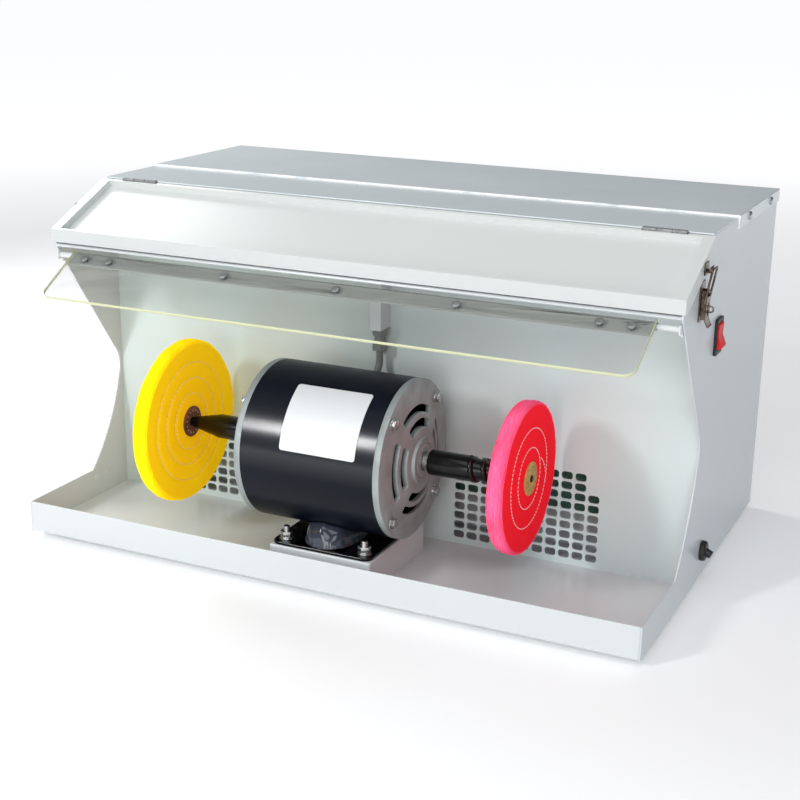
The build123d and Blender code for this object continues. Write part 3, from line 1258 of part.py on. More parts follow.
def make_filter_mat():
    half = FILTER_HALF_WIDTH - FILTER_RAIL
    z = (FILTER_Z[0] + FILTER_RAIL, FILTER_Z[1] - FILTER_RAIL)
    return block((-half, half), around(sum(FILTER_Y) / 2, FILTER_MAT), z)


def make_fan_inlet_ring():
    y = PARTITION_REAR_Y
    tube = INLET_RADIUS + SHEET
    return turned_fan([
        (y, INLET_RADIUS), (y + INLET_LENGTH, INLET_RADIUS), (y + INLET_LENGTH, tube), (y + SHEET, tube),
        (y + SHEET, INLET_FLANGE), (y, INLET_FLANGE),
    ])


def make_fan_impeller():
    """Shroud, back plate, backward-leaning blades and a hub on the fan motor's spindle."""
    front = (FAN_FRONT_Y, FAN_FRONT_Y + SHEET)
    back = (FAN_BACK_Y - SHEET, FAN_BACK_Y)
    hub_radius, hub_front, hub_rear = FAN_HUB
    hub_y = (FAN_BACK_Y - hub_front, FAN_BACK_Y + hub_rear)
    fan = rod_y(0, front, FAN_Z, FAN_RADIUS) - rod_y(0, past(front), FAN_Z, FAN_EYE)
    fan += rod_y(0, back, FAN_Z, FAN_RADIUS) + rod_y(0, hub_y, FAN_Z, hub_radius)
    blade_y = (front[1] - FAN_BLADE_SINK, back[0] + FAN_BLADE_SINK)
    blade_z = around(0, FAN_RADIUS - FAN_EYE - 2 * FAN_BLADE_INSET)
    blade = Rot(0, FAN_BLADE_LEAN, 0) * block(around(0, FAN_BLADE), blade_y, blade_z)
    blade = Pos(0, 0, (FAN_RADIUS + FAN_EYE) / 2) * blade
    for number in range(FAN_BLADES):
        fan += Pos(0, 0, FAN_Z) * Rot(0, number * 360 / FAN_BLADES, 0) * blade
    return fan - rod_y(0, past(hub_y), FAN_Z, FAN_SPINDLE + RUNNING_CLEARANCE)


def make_fan_motor():
    body = rod_y(0, (FAN_MOTOR_Y, FAN_MOTOR_Y + FAN_MOTOR_LENGTH), FAN_Z, FAN_MOTOR_RADIUS)
    body = fillet(body.edges(), FAN_MOTOR_ROUND)
    inside = FAN_MOTOR_Y + CUT
    collar = rod_y(0, (FAN_BACK_Y + FAN_HUB[2] + FAN_COLLAR_GAP, inside), FAN_Z, FAN_COLLAR)
    return body + collar + rod_y(0, (FAN_BACK_Y - FAN_SPINDLE_REACH, inside), FAN_Z, FAN_SPINDLE)


def make_fan_bracket():
    """Upright plate behind the fan motor with a foot on the tray and two ribs."""
    width, foot, rise, rib_height = FAN_BRACKET
    y = FAN_MOTOR_Y + FAN_MOTOR_LENGTH
    x = around(0, width)
    bracket = block(x, (y, y + BRACKET_SHEET), (SHEET, FAN_Z + rise))
    bracket += block(x, (y, y + foot), (SHEET, SHEET + BRACKET_SHEET))
    rib_top = SHEET + rib_height
    rib = [(y, SHEET), (y + foot, SHEET), (y + BRACKET_SHEET, rib_top), (y, rib_top)]
    for middle in around(0, width - 2 * BRACKET_SHEET):
        bracket += prism_x(rib, around(middle, BRACKET_SHEET))
    return bracket


# Assembly

def make_parts():
    parts = {
        "base_tray": make_base_tray(),
        "left_side_panel": make_side_panel(-1),
        "right_side_panel": make_side_panel(1),
        "baffle": make_baffle(),
        "hood_floor": make_hood_floor(),
        "hinge_strip": make_hinge_strip(),
        "top_cover": make_top_cover(),
        "rear_panel": make_rear_panel(),
        "fan_partition": make_fan_partition(),
        "feet": make_feet(),
        "cabinet_screws": make_cabinet_screws(),
        "hinge_leaves": make_hinge_leaves(),
        "hinge_pins": make_hinge_pins(),
        "shield_brackets": make_shield_brackets(),
        "latch_bases": group([on_side(latch_base(), sign) for sign in (-1, 1)]),
        "switch_housing": make_switch_housing(),
        "cord_bush": make_cord_bush(),
        "wire_duct": make_wire_duct(),
        "cable_gland": make_cable_gland(),
        "motor_cable": make_motor_cable(),
        "cable_grommet": make_cable_grommet(),
        "motor_plinth": make_motor_plinth(),
        "motor_base_plate": make_motor_base_plate(),
        "base_fasteners": make_base_fasteners(),
        "motor_saddle": make_motor_saddle(),
        "motor_shell": make_motor_shell(),
        "left_end_bell": make_end_bell(-1),
        "right_end_bell": make_end_bell(1),
        "through_bolts": make_through_bolts(),
        "nameplate": make_nameplate(),
        "stator_core": make_stator_core(),
        "stator_windings": make_stator_windings(),
        "motor_bearings": make_motor_bearings(),
        "filter_frame": make_filter_frame(),
        "filter_mat": make_filter_mat(),
        "fan_inlet_ring": make_fan_inlet_ring(),
        "fan_motor": make_fan_motor(),
        "fan_bracket": make_fan_bracket(),
        "lid": make_lid(),
        "lid_hinge_leaves": make_lid_hinge_leaves(),
        "latch_keepers": group([on_side(latch_keeper(), sign) for sign in (-1, 1)]),
        "shield": make_shield(),
        "shield_strip": make_shield_strip(),
        "shield_screws": make_shield_screws(),
        "motor_shaft": make_motor_shaft(),
        "rotor_core": make_rotor_core(),
        "cooling_fan": make_cooling_fan(),
        "left_arbor": make_arbor(-1),
        "right_arbor": make_arbor(1),
        "arbor_set_screws": make_arbor_set_screws(),
        "yellow_buff": make_buff(-1),
        "yellow_hub_discs": make_hub_discs(-1),
        "red_buff": make_buff(1),
        "red_hub_discs": make_hub_discs(1),
        "fan_impeller": make_fan_impeller(),
        "switch_rocker": make_switch_rocker(),
    }
    for sign, side in ((-1, "left"), (1, "right")):
        parts[side + "_latch_lever"] = on_side(latch_lever(), sign)
        parts[side + "_latch_loop"] = on_side(latch_loop(), sign)
    return parts


def main():
    parts = make_parts()
    boxes = [shape.bounding_box() for shape in parts.values()]
    middle_y = (min(box.min.Y for box in boxes) + max(box.max.Y for box in boxes)) / 2
    to_origin = Pos(0, -middle_y, FOOT_HEIGHT)
    os.makedirs("parts", exist_ok=True)
    for name, shape in parts.items():
        export_step(to_origin * shape, "parts/" + name + ".step")
    print("nodes", len(parts), "footprint middle at y", round(middle_y, 3))


main()
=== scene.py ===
# %% [markdown]
# # A bench polisher for jewellers
# A CAD model gives every part of this machine its place and size. This notebook gives the parts their
# looks: paint, enamel, cast metal, cloth, leather and clear plastic, and finer shapes where the eye looks
# for them. Everything stays in the CAD model's frame, in metres, so a new piece goes exactly where its
# CAD part is.

# %% Load the CAD frame
import json
import math
import random

import bmesh
import bpy
from mathutils import Matrix, Vector, noise

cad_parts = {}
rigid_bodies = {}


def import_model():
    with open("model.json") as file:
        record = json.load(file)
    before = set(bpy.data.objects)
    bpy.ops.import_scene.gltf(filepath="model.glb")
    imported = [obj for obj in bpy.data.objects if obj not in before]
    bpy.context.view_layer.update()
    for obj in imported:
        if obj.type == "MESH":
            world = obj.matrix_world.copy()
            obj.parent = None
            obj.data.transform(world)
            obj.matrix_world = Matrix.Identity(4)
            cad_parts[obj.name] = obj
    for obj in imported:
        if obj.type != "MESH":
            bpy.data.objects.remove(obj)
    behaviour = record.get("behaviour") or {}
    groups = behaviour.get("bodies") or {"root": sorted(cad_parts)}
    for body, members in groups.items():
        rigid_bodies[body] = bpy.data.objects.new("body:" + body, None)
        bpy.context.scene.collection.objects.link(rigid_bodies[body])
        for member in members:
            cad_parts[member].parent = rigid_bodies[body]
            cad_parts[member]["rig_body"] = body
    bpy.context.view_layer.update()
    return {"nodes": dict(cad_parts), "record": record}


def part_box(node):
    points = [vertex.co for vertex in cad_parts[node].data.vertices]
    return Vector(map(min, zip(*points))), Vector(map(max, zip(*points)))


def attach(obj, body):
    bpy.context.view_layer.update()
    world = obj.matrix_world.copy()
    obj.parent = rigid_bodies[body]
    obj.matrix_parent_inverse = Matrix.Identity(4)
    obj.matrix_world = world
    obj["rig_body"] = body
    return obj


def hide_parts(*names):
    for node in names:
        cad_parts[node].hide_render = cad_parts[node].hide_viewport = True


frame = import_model()
MM = 0.001
tray_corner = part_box("base_tray")[0]


def at(x, y, z):
    """A place in millimetres from the middle of the tray's front lower edge, in the frame's metres."""
    return Vector((0, tray_corner.y, tray_corner.z)) + MM * Vector((x, y, z))


# %% [markdown]
# ## Camera
# The picture was taken from the right of the machine and a little above it. Its angles come from matching
# the cabinet's corners, so the camera is built from three angles instead of being pointed by eye. The
# columns of its matrix are the directions of the picture: right, up and towards the viewer.

# %% Camera
FRAME_PIXELS = 800.0
FOCAL_PIXELS = 1473.0
SENSOR_MM = 36.0
CAMERA_TURNS = (24.93, 17.28, -0.85)
CAMERA_PLACE = (559.6, -1020.9, 534.1)
yaw, pitch, roll = (math.radians(angle) for angle in CAMERA_TURNS)
forward = Vector((-math.sin(yaw) * math.cos(pitch), math.cos(yaw) * math.cos(pitch), -math.sin(pitch)))
level_right = Vector((math.cos(yaw), math.sin(yaw), 0))
level_down = forward.cross(level_right)
right = math.cos(roll) * level_right + math.sin(roll) * level_down
down = math.cos(roll) * level_down - math.sin(roll) * level_right
lens = bpy.data.cameras.new("camera")
lens.sensor_width = SENSOR_MM
lens.lens = SENSOR_MM * FOCAL_PIXELS / FRAME_PIXELS
camera = bpy.data.objects.new("camera", lens)
turn = Matrix((right, -down, -forward)).transposed().to_4x4()
camera.matrix_world = Matrix.Translation(at(*CAMERA_PLACE)) @ turn
bpy.context.scene.collection.objects.link(camera)
bpy.context.scene.camera = camera
print("lens", round(lens.lens, 1), "mm, camera at", [round(value, 3) for value in camera.location])

# %% [markdown]
# ## Finishes written as expressions
# A material is a graph of nodes, and sums in it are easier to read as Python. A Link wraps one socket,
# and adding or multiplying links puts Math nodes into the graph. A Finish is one material: its node
# method makes any node from a type, its settings and its inputs, and the other methods are the few
# patterns used often.


# %% Links and finishes
class Link:
    """A socket that gives a value; arithmetic on it adds Math nodes."""

    def __init__(self, finish, socket):
        self.finish = finish
        self.socket = socket

    def __add__(self, other):
        return self.finish.maths("ADD", self, other)

    def __radd__(self, other):
        return self.finish.maths("ADD", other, self)

    def __sub__(self, other):
        return self.finish.maths("SUBTRACT", self, other)

    def __rsub__(self, other):
        return self.finish.maths("SUBTRACT", other, self)

    def __mul__(self, other):
        return self.finish.maths("MULTIPLY", self, other)

    def __rmul__(self, other):
        return self.finish.maths("MULTIPLY", other, self)

    def __pow__(self, other):
        return self.finish.maths("POWER", self, other)

    def __abs__(self):
        return self.finish.maths("ABSOLUTE", self)


class Finish:
    """One procedural material and the nodes it is made of."""

    def __init__(self, name):
        self.material = bpy.data.materials.new(name)
        self.material.use_nodes = True
        self.tree = self.material.node_tree
        self.tree.nodes.clear()
        self.place = self.node("ShaderNodeTexCoord", output="Object")

    def node(self, kind, settings=None, inputs=None, output=0):
        made = self.tree.nodes.new(kind)
        for name, value in (settings or {}).items():
            setattr(made, name, value)
        for name, value in (inputs or {}).items():
            if isinstance(value, Link):
                self.tree.links.new(value.socket, made.inputs[name])
            else:
                made.inputs[name].default_value = value
        return Link(self, made.outputs[output]) if made.outputs else None

    def maths(self, operation, *values):
        return self.node("ShaderNodeMath", {"operation": operation}, dict(enumerate(values)))

    def axes(self, centre=(0, 0, 0)):
        """The three coordinates of the surface, measured from a centre, in metres."""
        back = [-value for value in centre]
        moved = self.node("ShaderNodeMapping", None, {"Vector": self.place, "Location": back})
        parts = self.tree.nodes.new("ShaderNodeSeparateXYZ")
        self.tree.links.new(moved.socket, parts.inputs[0])
        return [Link(self, socket) for socket in parts.outputs]

    def mottle(self, scale, detail=2.0, stretch=None):
        """Noise from 0 to 1, with about this many patches to a metre."""
        vector = self.place
        if stretch:
            vector = self.node("ShaderNodeMapping", None, {"Vector": vector, "Scale": stretch})
        return self.node("ShaderNodeTexNoise", None, {"Vector": vector, "Scale": scale, "Detail": detail})

    def spread(self, value, low, high, start=0.0, end=1.0):
        """Maps low..high to start..end and clamps."""
        limits = {"Value": value, "From Min": low, "From Max": high, "To Min": start, "To Max": end}
        return self.node("ShaderNodeMapRange", None, limits)

    def tint(self, share, first, second):
        return self.node("ShaderNodeMix", {"data_type": "RGBA"}, {0: share, 6: first, 7: second}, 2)

    def bump(self, height, depth, strength):
        return self.node("ShaderNodeBump", None, {"Height": height, "Distance": depth, "Strength": strength})

    def surface(self, inputs):
        shader = self.node("ShaderNodeBsdfPrincipled", None, inputs)
        self.node("ShaderNodeOutputMaterial", None, {"Surface": shader})
        return self.material


def shade(red, green, blue):
    """A colour as it looks on a screen, 0 to 255, in the linear values that shaders use."""
    levels = [value / 255 for value in (red, green, blue)]
    linear = [v / 12.92 if v <= 0.04045 else ((v + 0.055) / 1.055) ** 2.4 for v in levels]
    return (*linear, 1.0)


# %% [markdown]
# ## Shapes from bmesh operators
# Most round parts here come off a lathe, so one helper spins a profile of (along, radius) points. Folded
# sheet keeps the CAD part's shape, and a copy of its mesh gets rounded edges: real sheet is never knife
# sharp, and the thin highlight along each edge is what makes it look like metal. Weighted normals keep
# its flats flat. A face with a hollow outline, such as a rim, is split first, because rounding could fold
# it over itself.


# %% Shape helpers
X_AXIS, Y_AXIS, Z_AXIS = Vector((1, 0, 0)), Vector((0, 1, 0)), Vector((0, 0, 1))


def joined(bm, part):
    """Adds a separate bmesh to another one; returns the new vertices."""
    store = bpy.data.meshes.new("part")
    part.to_mesh(store)
    part.free()
    first = len(bm.verts)
    bm.from_mesh(store)
    bpy.data.meshes.remove(store)
    bm.verts.ensure_lookup_table()
    return bm.verts[first:]


def turned(bm, profile, centre, axis=X_AXIS, steps=96, closed=False):
    """Spins (along, radius) points in millimetres about an axis; returns the new vertices."""
    lathe = bmesh.new()
    side = axis.orthogonal().normalized()
    line = [lathe.verts.new(centre + MM * (along * axis + radius * side)) for along, radius in profile]
    pairs = list(zip(line, line[1:]))
    if closed:
        pairs.append((line[-1], line[0]))
    edges = [lathe.edges.new(pair) for pair in pairs]
    bmesh.ops.spin(
        lathe, geom=line + edges, cent=centre, axis=axis, dvec=(0, 0, 0), angle=math.tau, steps=steps,
        use_merge=True,
    )
    return joined(bm, lathe)


def tidy(bm):
    bmesh.ops.remove_doubles(bm, verts=bm.verts, dist=1e-6)
    bmesh.ops.recalc_face_normals(bm, faces=bm.faces)


def soften(bm, radius, angle=35.0, segments=2, edges=None):
    """Rounds the hard edges of a closed mesh."""
    limit = math.radians(angle)
    hard = [e for e in edges or bm.edges if len(e.link_faces) == 2 and e.calc_face_angle(0) > limit]
    bmesh.ops.bevel(
        bm, geom=hard, offset=MM * radius, offset_type="OFFSET", affect="EDGES", segments=segments,
        profile=0.5, material=-1, clamp_overlap=True,
    )


def extruded(bm, faces):
    """Extrudes faces; returns the vertices of the new ones, ready to be moved."""
    made = bmesh.ops.extrude_face_region(bm, geom=faces)["geom"]
    return [item for item in made if isinstance(item, bmesh.types.BMVert)]


def along(axis, place):
    """Matrix that stands a shape made along Z at a place, along another axis."""
    return Matrix.Translation(place) @ Z_AXIS.rotation_difference(axis).to_matrix().to_4x4()


def piece(name, bm, finish, body, nodes=(), smooth=40.0):
    """Makes a bmesh an object that rides on a body and stands for CAD nodes."""
    mesh = bpy.data.meshes.new(name)
    bm.to_mesh(mesh)
    bm.free()
    mesh.polygons.foreach_set("use_smooth", [True] * len(mesh.polygons))
    mesh.set_sharp_from_angle(angle=math.radians(smooth))
    mesh.materials.append(finish)
    made = bpy.data.objects.new(name, mesh)
    bpy.context.scene.collection.objects.link(made)
    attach(made, body)
    if nodes:
        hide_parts(*nodes)
    print(name, len(mesh.polygons), "faces on", body)
    return made


def cad_copy(node):
    """A CAD node's mesh with its triangles joined into large faces, none of which has a hollow outline."""
    bm = bmesh.new()
    bm.from_mesh(frame["nodes"][node].data)
    bmesh.ops.remove_doubles(bm, verts=bm.verts, dist=1e-6)
    bmesh.ops.dissolve_limit(bm, angle_limit=math.radians(1), verts=bm.verts, edges=bm.edges)
    bmesh.ops.connect_verts_concave(bm, faces=bm.faces)
    return bm


def rounded(node, radius, finish, segments=2):
    """A CAD part with rounded edges, in its own place."""
    bm = cad_copy(node)
    soften(bm, radius, segments=segments)
    part = frame["nodes"][node]
    made = piece(node + "_rounded", bm, finish, part["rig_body"], [node], 60.0)
    flats = made.modifiers.new("flat faces", "WEIGHTED_NORMAL")
    flats.keep_sharp = True
    return made


slot_of = {part["node"]: part["material_slot"] for part in frame["record"]["subparts"]}

# %% [markdown]
# ## Floor and light
# The machine stands on a plain pale floor in soft studio light. The small, bright softbox on the left
# stands where the drum mirrors it as one long highlight. The others are above, in front, to light the
# inside under the hood, on the right and behind on the left. The pale world fills the shadows, as white
# studio walls do. The floor glows a little, more so further away, which stands for the lights of a white
# backdrop.

# %% Floor
FLOOR_HALF = 30.0
GLOW_FROM, GLOW_FULL = 0.6, 2.6
floor_finish = Finish("studio_floor")
floor_tone = floor_finish.tint(floor_finish.mottle(3.0), shade(246, 247, 248), shade(250, 250, 250))
x, y, z = floor_finish.axes()
away = floor_finish.spread((x * x + y * y) ** 0.5, GLOW_FROM, GLOW_FULL)
painted_glow = floor_finish.tint(away, shade(116, 116, 117), shade(228, 228, 229))
floor_finish.surface({
    "Base Color": floor_tone, "Roughness": 0.8, "Emission Color": painted_glow, "Emission Strength": 1.0,
})
floor_mesh = bmesh.new()
bmesh.ops.create_grid(floor_mesh, x_segments=1, y_segments=1, size=FLOOR_HALF)
floor_data = bpy.data.meshes.new("floor")
floor_mesh.to_mesh(floor_data)
floor_mesh.free()
floor_data.materials.append(floor_finish.material)
floor = bpy.data.objects.new("floor", floor_data)
bpy.context.scene.collection.objects.link(floor)


# %% Light
def softbox(name, place, target, size, power, tone=(1, 1, 1)):
    lamp = bpy.data.lights.new(name, "AREA")
    lamp.shape = "RECTANGLE"
    lamp.size, lamp.size_y = size
    lamp.energy = power
    lamp.color = tone
    box = bpy.data.objects.new(name, lamp)
    box.location = place
    box.rotation_euler = (Vector(target) - Vector(place)).to_track_quat("-Z", "Y").to_euler()
    bpy.context.scene.collection.objects.link(box)


middle = Vector((0, 0, 0.15))
softbox("left_softbox", (-0.97, -1.87, 1.17), middle, (0.25, 0.47), 18)
softbox("top_softbox", (0.5, -1.1, 1.9), middle, (1.6, 1.2), 14)
softbox("front_softbox", (0.35, -2.6, 0.45), middle, (1.0, 0.8), 12)
softbox("right_softbox", (1.1, -1.7, 0.8), middle, (0.8, 0.8), 6, (0.93, 0.97, 1.0))
softbox("rear_softbox", (-0.95, 0.35, 0.8), middle, (0.6, 0.6), 8)
world = bpy.data.worlds.new("studio")
world.use_nodes = True
world.node_tree.nodes["Background"].inputs["Color"].default_value = (0.95, 0.97, 1.0, 1.0)
world.node_tree.nodes["Background"].inputs["Strength"].default_value = 0.22
bpy.context.scene.world = world
bpy.context.scene.view_settings.view_transform = "Standard"

# %% [markdown]
# ## Painted sheet
# The cabinet is folded sheet with a cool, semi-gloss grey-white paint. Sprayed paint is never quite even:
# it has a faint orange-peel ripple, slow changes of tone and slightly duller patches, all of them subtle.


# %% Cabinet paint
PALE_EDGE_CORE, PALE_EDGE_FADE = 0.0008, 0.0026
COVER_FRONT = 225.0


def sheet_paint(name, light, dark, gloss, rubbed_and_lit_edge=None):
    """Semi-gloss paint; the last argument is the place along Y, in metres, of an edge painted pale: partly
    rubbed paint, partly a painted highlight along the edge.
    """
    finish = Finish(name)
    clouds = finish.mottle(6.0, 3.0)
    wipe = finish.mottle(14.0, 3.0)
    peel = finish.mottle(210.0, 1.0)
    tone = finish.tint(finish.spread(clouds, 0.3, 0.75), light, dark)
    # Near that edge the tone turns pale in broken patches: partly rubbed paint, partly a painted highlight
    # along the edge.
    if rubbed_and_lit_edge is not None:
        x, y, z = finish.axes()
        rub_and_shine_marks = finish.mottle(90.0, 4.0, (0.4, 1, 1))
        near = finish.spread(abs(y - rubbed_and_lit_edge), PALE_EDGE_CORE, PALE_EDGE_FADE, 1.0, 0.0)
        tone = finish.tint(near * finish.spread(rub_and_shine_marks, 0.36, 0.5), tone, shade(250, 252, 252))
    dull = gloss + 0.04 * finish.spread(wipe, 0.3, 0.75)
    finish.surface({"Base Color": tone, "Roughness": dull, "Normal": finish.bump(peel, 0.00003, 0.1)})
    return finish.material


white_paint = sheet_paint("white_paint", shade(209, 214, 215), shade(206, 211, 213), 0.22)
# The lid gets a slightly lighter copy of the paint. This is painted light, so the lid reads brighter than the
# rest of the cabinet.
lid_lit_paint = sheet_paint("lid_lit_paint", shade(214, 218, 216), shade(212, 216, 215), 0.28)
# The lid's front face gets a greyer copy of the paint. This is painted shade.
fascia_painted_shade = sheet_paint("fascia_painted_shade", shade(198, 202, 201), shade(196, 200, 200), 0.3)
# The side panels get a slightly darker, bluer copy of the paint. This is painted shade.
side_painted_shade = sheet_paint("side_painted_shade", shade(207, 214, 219), shade(204, 211, 217), 0.24)
# The shield's strip gets a mid-grey copy of the paint. This is painted shade for the shadow under the hood
# where it sits.
strip_painted_shade = sheet_paint("strip_painted_shade", shade(164, 168, 164), shade(160, 165, 161), 0.3)
# The baffle gets a cooler, slightly lighter copy of the paint. This is painted light that cancels the pink
# light the red buff bounces onto it.
baffle_bounce_cancel_paint = sheet_paint("baffle_bounce_cancel_paint", shade(209, 222, 220), shade(206, 220, 219), 0.3)
cover_edge = at(0, COVER_FRONT, 0).y
# The top cover and the hinge strip get a lighter, bluer copy of the paint. It is painted light and a painted
# bluish sheen of reflected sky.
cover_painted_sheen = sheet_paint("cover_painted_sheen", shade(220, 228, 231), shade(212, 222, 227), 0.2, cover_edge)


# %% [markdown]
# ## Metals, plastics and rubber
# These finishes share a pattern: a base tone, noise that varies the roughness, and a bump at the right
# scale. Turned metal has fine rings about its axis, so its noise reads the distance from that axis.


# %% Metal finishes
def plain_metal(name, tone, worn, roughness, scale, metallic=1.0):
    finish = Finish(name)
    patches = finish.mottle(scale, 4.0)
    grain = finish.mottle(scale * 9, 2.0)
    colour = finish.tint(finish.spread(patches, 0.35, 0.7), tone, worn)
    dull = roughness + 0.16 * finish.spread(patches, 0.3, 0.8)
    normal = finish.bump(grain, 0.00004, 0.35)
    finish.surface({"Base Color": colour, "Metallic": metallic, "Roughness": dull, "Normal": normal})
    return finish.material


def turned_metal(name, tone, worn, roughness, centre, rings, metallic=1.0):
    """Metal with fine rings about an axis along X."""
    finish = Finish(name)
    x, y, z = finish.axes(centre)
    radius = (y * y + z * z) ** 0.5
    along_radius = {"W": radius, "Scale": rings, "Detail": 2.0}
    lines = finish.node("ShaderNodeTexNoise", {"noise_dimensions": "1D"}, along_radius)
    cloud = finish.mottle(55.0, 4.0)
    colour = finish.tint(finish.spread(cloud, 0.3, 0.75), tone, worn)
    dull = roughness + 0.18 * lines + 0.08 * cloud
    normal = finish.bump(lines, 0.00006, 0.35)
    finish.surface({"Base Color": colour, "Metallic": metallic, "Roughness": dull, "Normal": normal})
    return finish.material


def moulded(name, tone, worn, roughness, grain, depth=0.00003):
    """Plastic or rubber with a fine moulded grain."""
    finish = Finish(name)
    patches = finish.mottle(60.0, 3.0)
    texture = finish.mottle(grain, 2.0)
    colour = finish.tint(finish.spread(patches, 0.35, 0.75), tone, worn)
    dull = roughness + 0.15 * finish.spread(patches, 0.3, 0.8)
    finish.surface({"Base Color": colour, "Roughness": dull, "Normal": finish.bump(texture, depth, 0.4)})
    return finish.material


def repaint(node, finish):
    """Gives a CAD part that keeps its own mesh a finish."""
    materials = frame["nodes"][node].data.materials
    materials.clear()
    materials.append(finish)


motor_axis = sum(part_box("motor_shaft"), Vector()) / 2
dull_zinc = plain_metal("dull_zinc", shade(152, 155, 156), shade(128, 130, 130), 0.5, 160.0, 0.7)
finish_of = {
    "white_paint": white_paint,
    "rubber_black": moulded("rubber_black", shade(22, 22, 23), shade(34, 34, 35), 0.42, 1500.0),
    "zinc_steel": plain_metal("zinc_steel", shade(205, 207, 208), shade(168, 168, 164), 0.22, 160.0),
    "latch_chrome": plain_metal("latch_chrome", shade(126, 112, 100), shade(62, 50, 42), 0.18, 130.0),
    "switch_black": moulded("switch_black", shade(10, 10, 11), shade(18, 18, 19), 0.4, 1300.0),
    "switch_red": moulded("switch_red", shade(236, 6, 14), shade(218, 4, 10), 0.42, 700.0, 0.00001),
    "gland_grey": moulded("gland_grey", shade(124, 129, 127), shade(108, 113, 111), 0.38, 1100.0),
    "cable_grey": moulded("cable_grey", shade(122, 127, 124), shade(106, 111, 108), 0.42, 1600.0),
    "cast_aluminium": turned_metal(
        "cast_aluminium", shade(168, 176, 176), shade(145, 151, 150), 0.46, motor_axis, 2600.0, 0.55
    ),
    "core_iron": plain_metal("core_iron", shade(92, 92, 94), shade(70, 66, 62), 0.4, 120.0),
    "bright_steel": turned_metal(
        "bright_steel", shade(214, 215, 216), shade(190, 188, 182), 0.12, motor_axis, 5200.0
    ),
    "frame_grey": moulded("frame_grey", shade(172, 174, 172), shade(158, 161, 158), 0.4, 600.0),
    "fan_plastic": moulded("fan_plastic", shade(52, 53, 55), shade(66, 67, 69), 0.45, 900.0),
    "fan_aluminium": plain_metal("fan_aluminium", shade(178, 178, 176), shade(150, 149, 146), 0.36, 90.0),
}
for part, slot in slot_of.items():
    if slot in finish_of:
        repaint(part, finish_of[slot])
print("finishes", len(finish_of))

# %% [markdown]
# ## Motor
# The motor is a plain drum with a dark blue-grey enamel, thick and glossy, so long soft reflections run
# along it. Clear coat over a dark base gives that depth, and it is strongest on the front of the drum,
# which gets wiped. The saddle and base plate below have the same kind of enamel in grey and black, and
# the arbors' blackened steel shines too.


# %% Enamel
WIPE_FADE = 0.009
UNWIPED = 0.16


def enamel(name, tone, dusty, roughness, coat, gloss=0.1, wiped=None):
    """Coated enamel; wiped gives the two heights, in metres, between which the coat is at its strongest."""
    finish = Finish(name)
    dust = finish.mottle(26.0, 5.0)
    peel = finish.mottle(420.0, 1.0)
    colour = finish.tint(finish.spread(dust, 0.5, 0.85), tone, dusty)
    dull = roughness + 0.1 * finish.spread(dust, 0.35, 0.8)
    normal = finish.bump(peel, 0.0001, 0.2)
    if wiped is not None:
        x, y, z = finish.axes()
        above = finish.spread(z, wiped[0] - WIPE_FADE, wiped[0] + WIPE_FADE)
        below = finish.spread(z, wiped[1] - WIPE_FADE, wiped[1] + WIPE_FADE, 1.0, 0.0)
        coat = coat * (UNWIPED + (1 - UNWIPED) * above * below)
    finish.surface({
        "Base Color": colour, "Roughness": dull, "Normal": normal, "Specular IOR Level": 0.1,
        "Coat Weight": coat, "Coat Roughness": gloss,
    })
    return finish.material


motor_enamel = enamel("motor_enamel", shade(6, 12, 24), shade(10, 16, 28), 0.4, 1.0, 0.22, (0.118, 0.17))
saddle_enamel = enamel("saddle_enamel", shade(46, 52, 64), shade(58, 64, 76), 0.3, 1.0, 0.06)
black_enamel = enamel("black_enamel", shade(10, 10, 12), shade(18, 18, 20), 0.25, 0.6)
finish_of["black_steel"] = enamel("black_steel", shade(4, 4, 5), shade(9, 9, 10), 0.3, 0.4, 0.16)
own_finish = {
    "motor_shell": motor_enamel, "arbor_set_screws": finish_of["black_steel"], "baffle": baffle_bounce_cancel_paint,
}
for part, finish in own_finish.items():
    repaint(part, finish)

# %% [markdown]
# ### End bells
# Each end of the drum is closed by a dished aluminium bell with arc-shaped vents, so the cooling fan can
# breathe. The dish is spun from one closed profile whose points include the vents' radii. Each vent is
# then a patch of faces that is deleted from the front and the back, and the two holes are bridged to give
# the vent its walls.

# %% Dish with vents
shell_low, shell_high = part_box("motor_shell")
DRUM = 70.0
BELL_RIM = 6.0
BELL_FACE = {-1: shell_low.x / MM - BELL_RIM, 1: shell_high.x / MM + BELL_RIM}
BELL_STEPS = 96
VENT_RINGS = ((29.0, 36.4), (41.5, 48.0))
VENT_HALF = math.radians(34.0)
HUB, HUB_FRONT, HUB_BACK = 26.5, 7.0, 2.0
FLAT = 56.0
SKIRT, SKIRT_BACK = 60.0, -4.0


def dish_front(radius):
    return HUB_FRONT * (FLAT - radius) / (FLAT - HUB)


def dish_back(radius):
    return HUB_BACK + (SKIRT_BACK - HUB_BACK) * (radius - HUB) / (SKIRT - HUB)


def open_vent(bm, ring, middle_angle):
    """Cuts one arc through the dish."""
    gone = set()
    for face in bm.faces:
        spot = face.calc_center_median() - motor_axis
        swing = math.atan2(spot.z, spot.y) - middle_angle
        swing = abs((swing + math.pi) % math.tau - math.pi)
        if ring[0] < math.hypot(spot.y, spot.z) / MM < ring[1] and swing < VENT_HALF:
            gone.add(face)
    rim = {edge for face in gone for edge in face.edges if not gone.issuperset(edge.link_faces)}
    bmesh.ops.delete(bm, geom=list(gone), context="FACES")
    bmesh.ops.bridge_loops(bm, edges=list(rim))


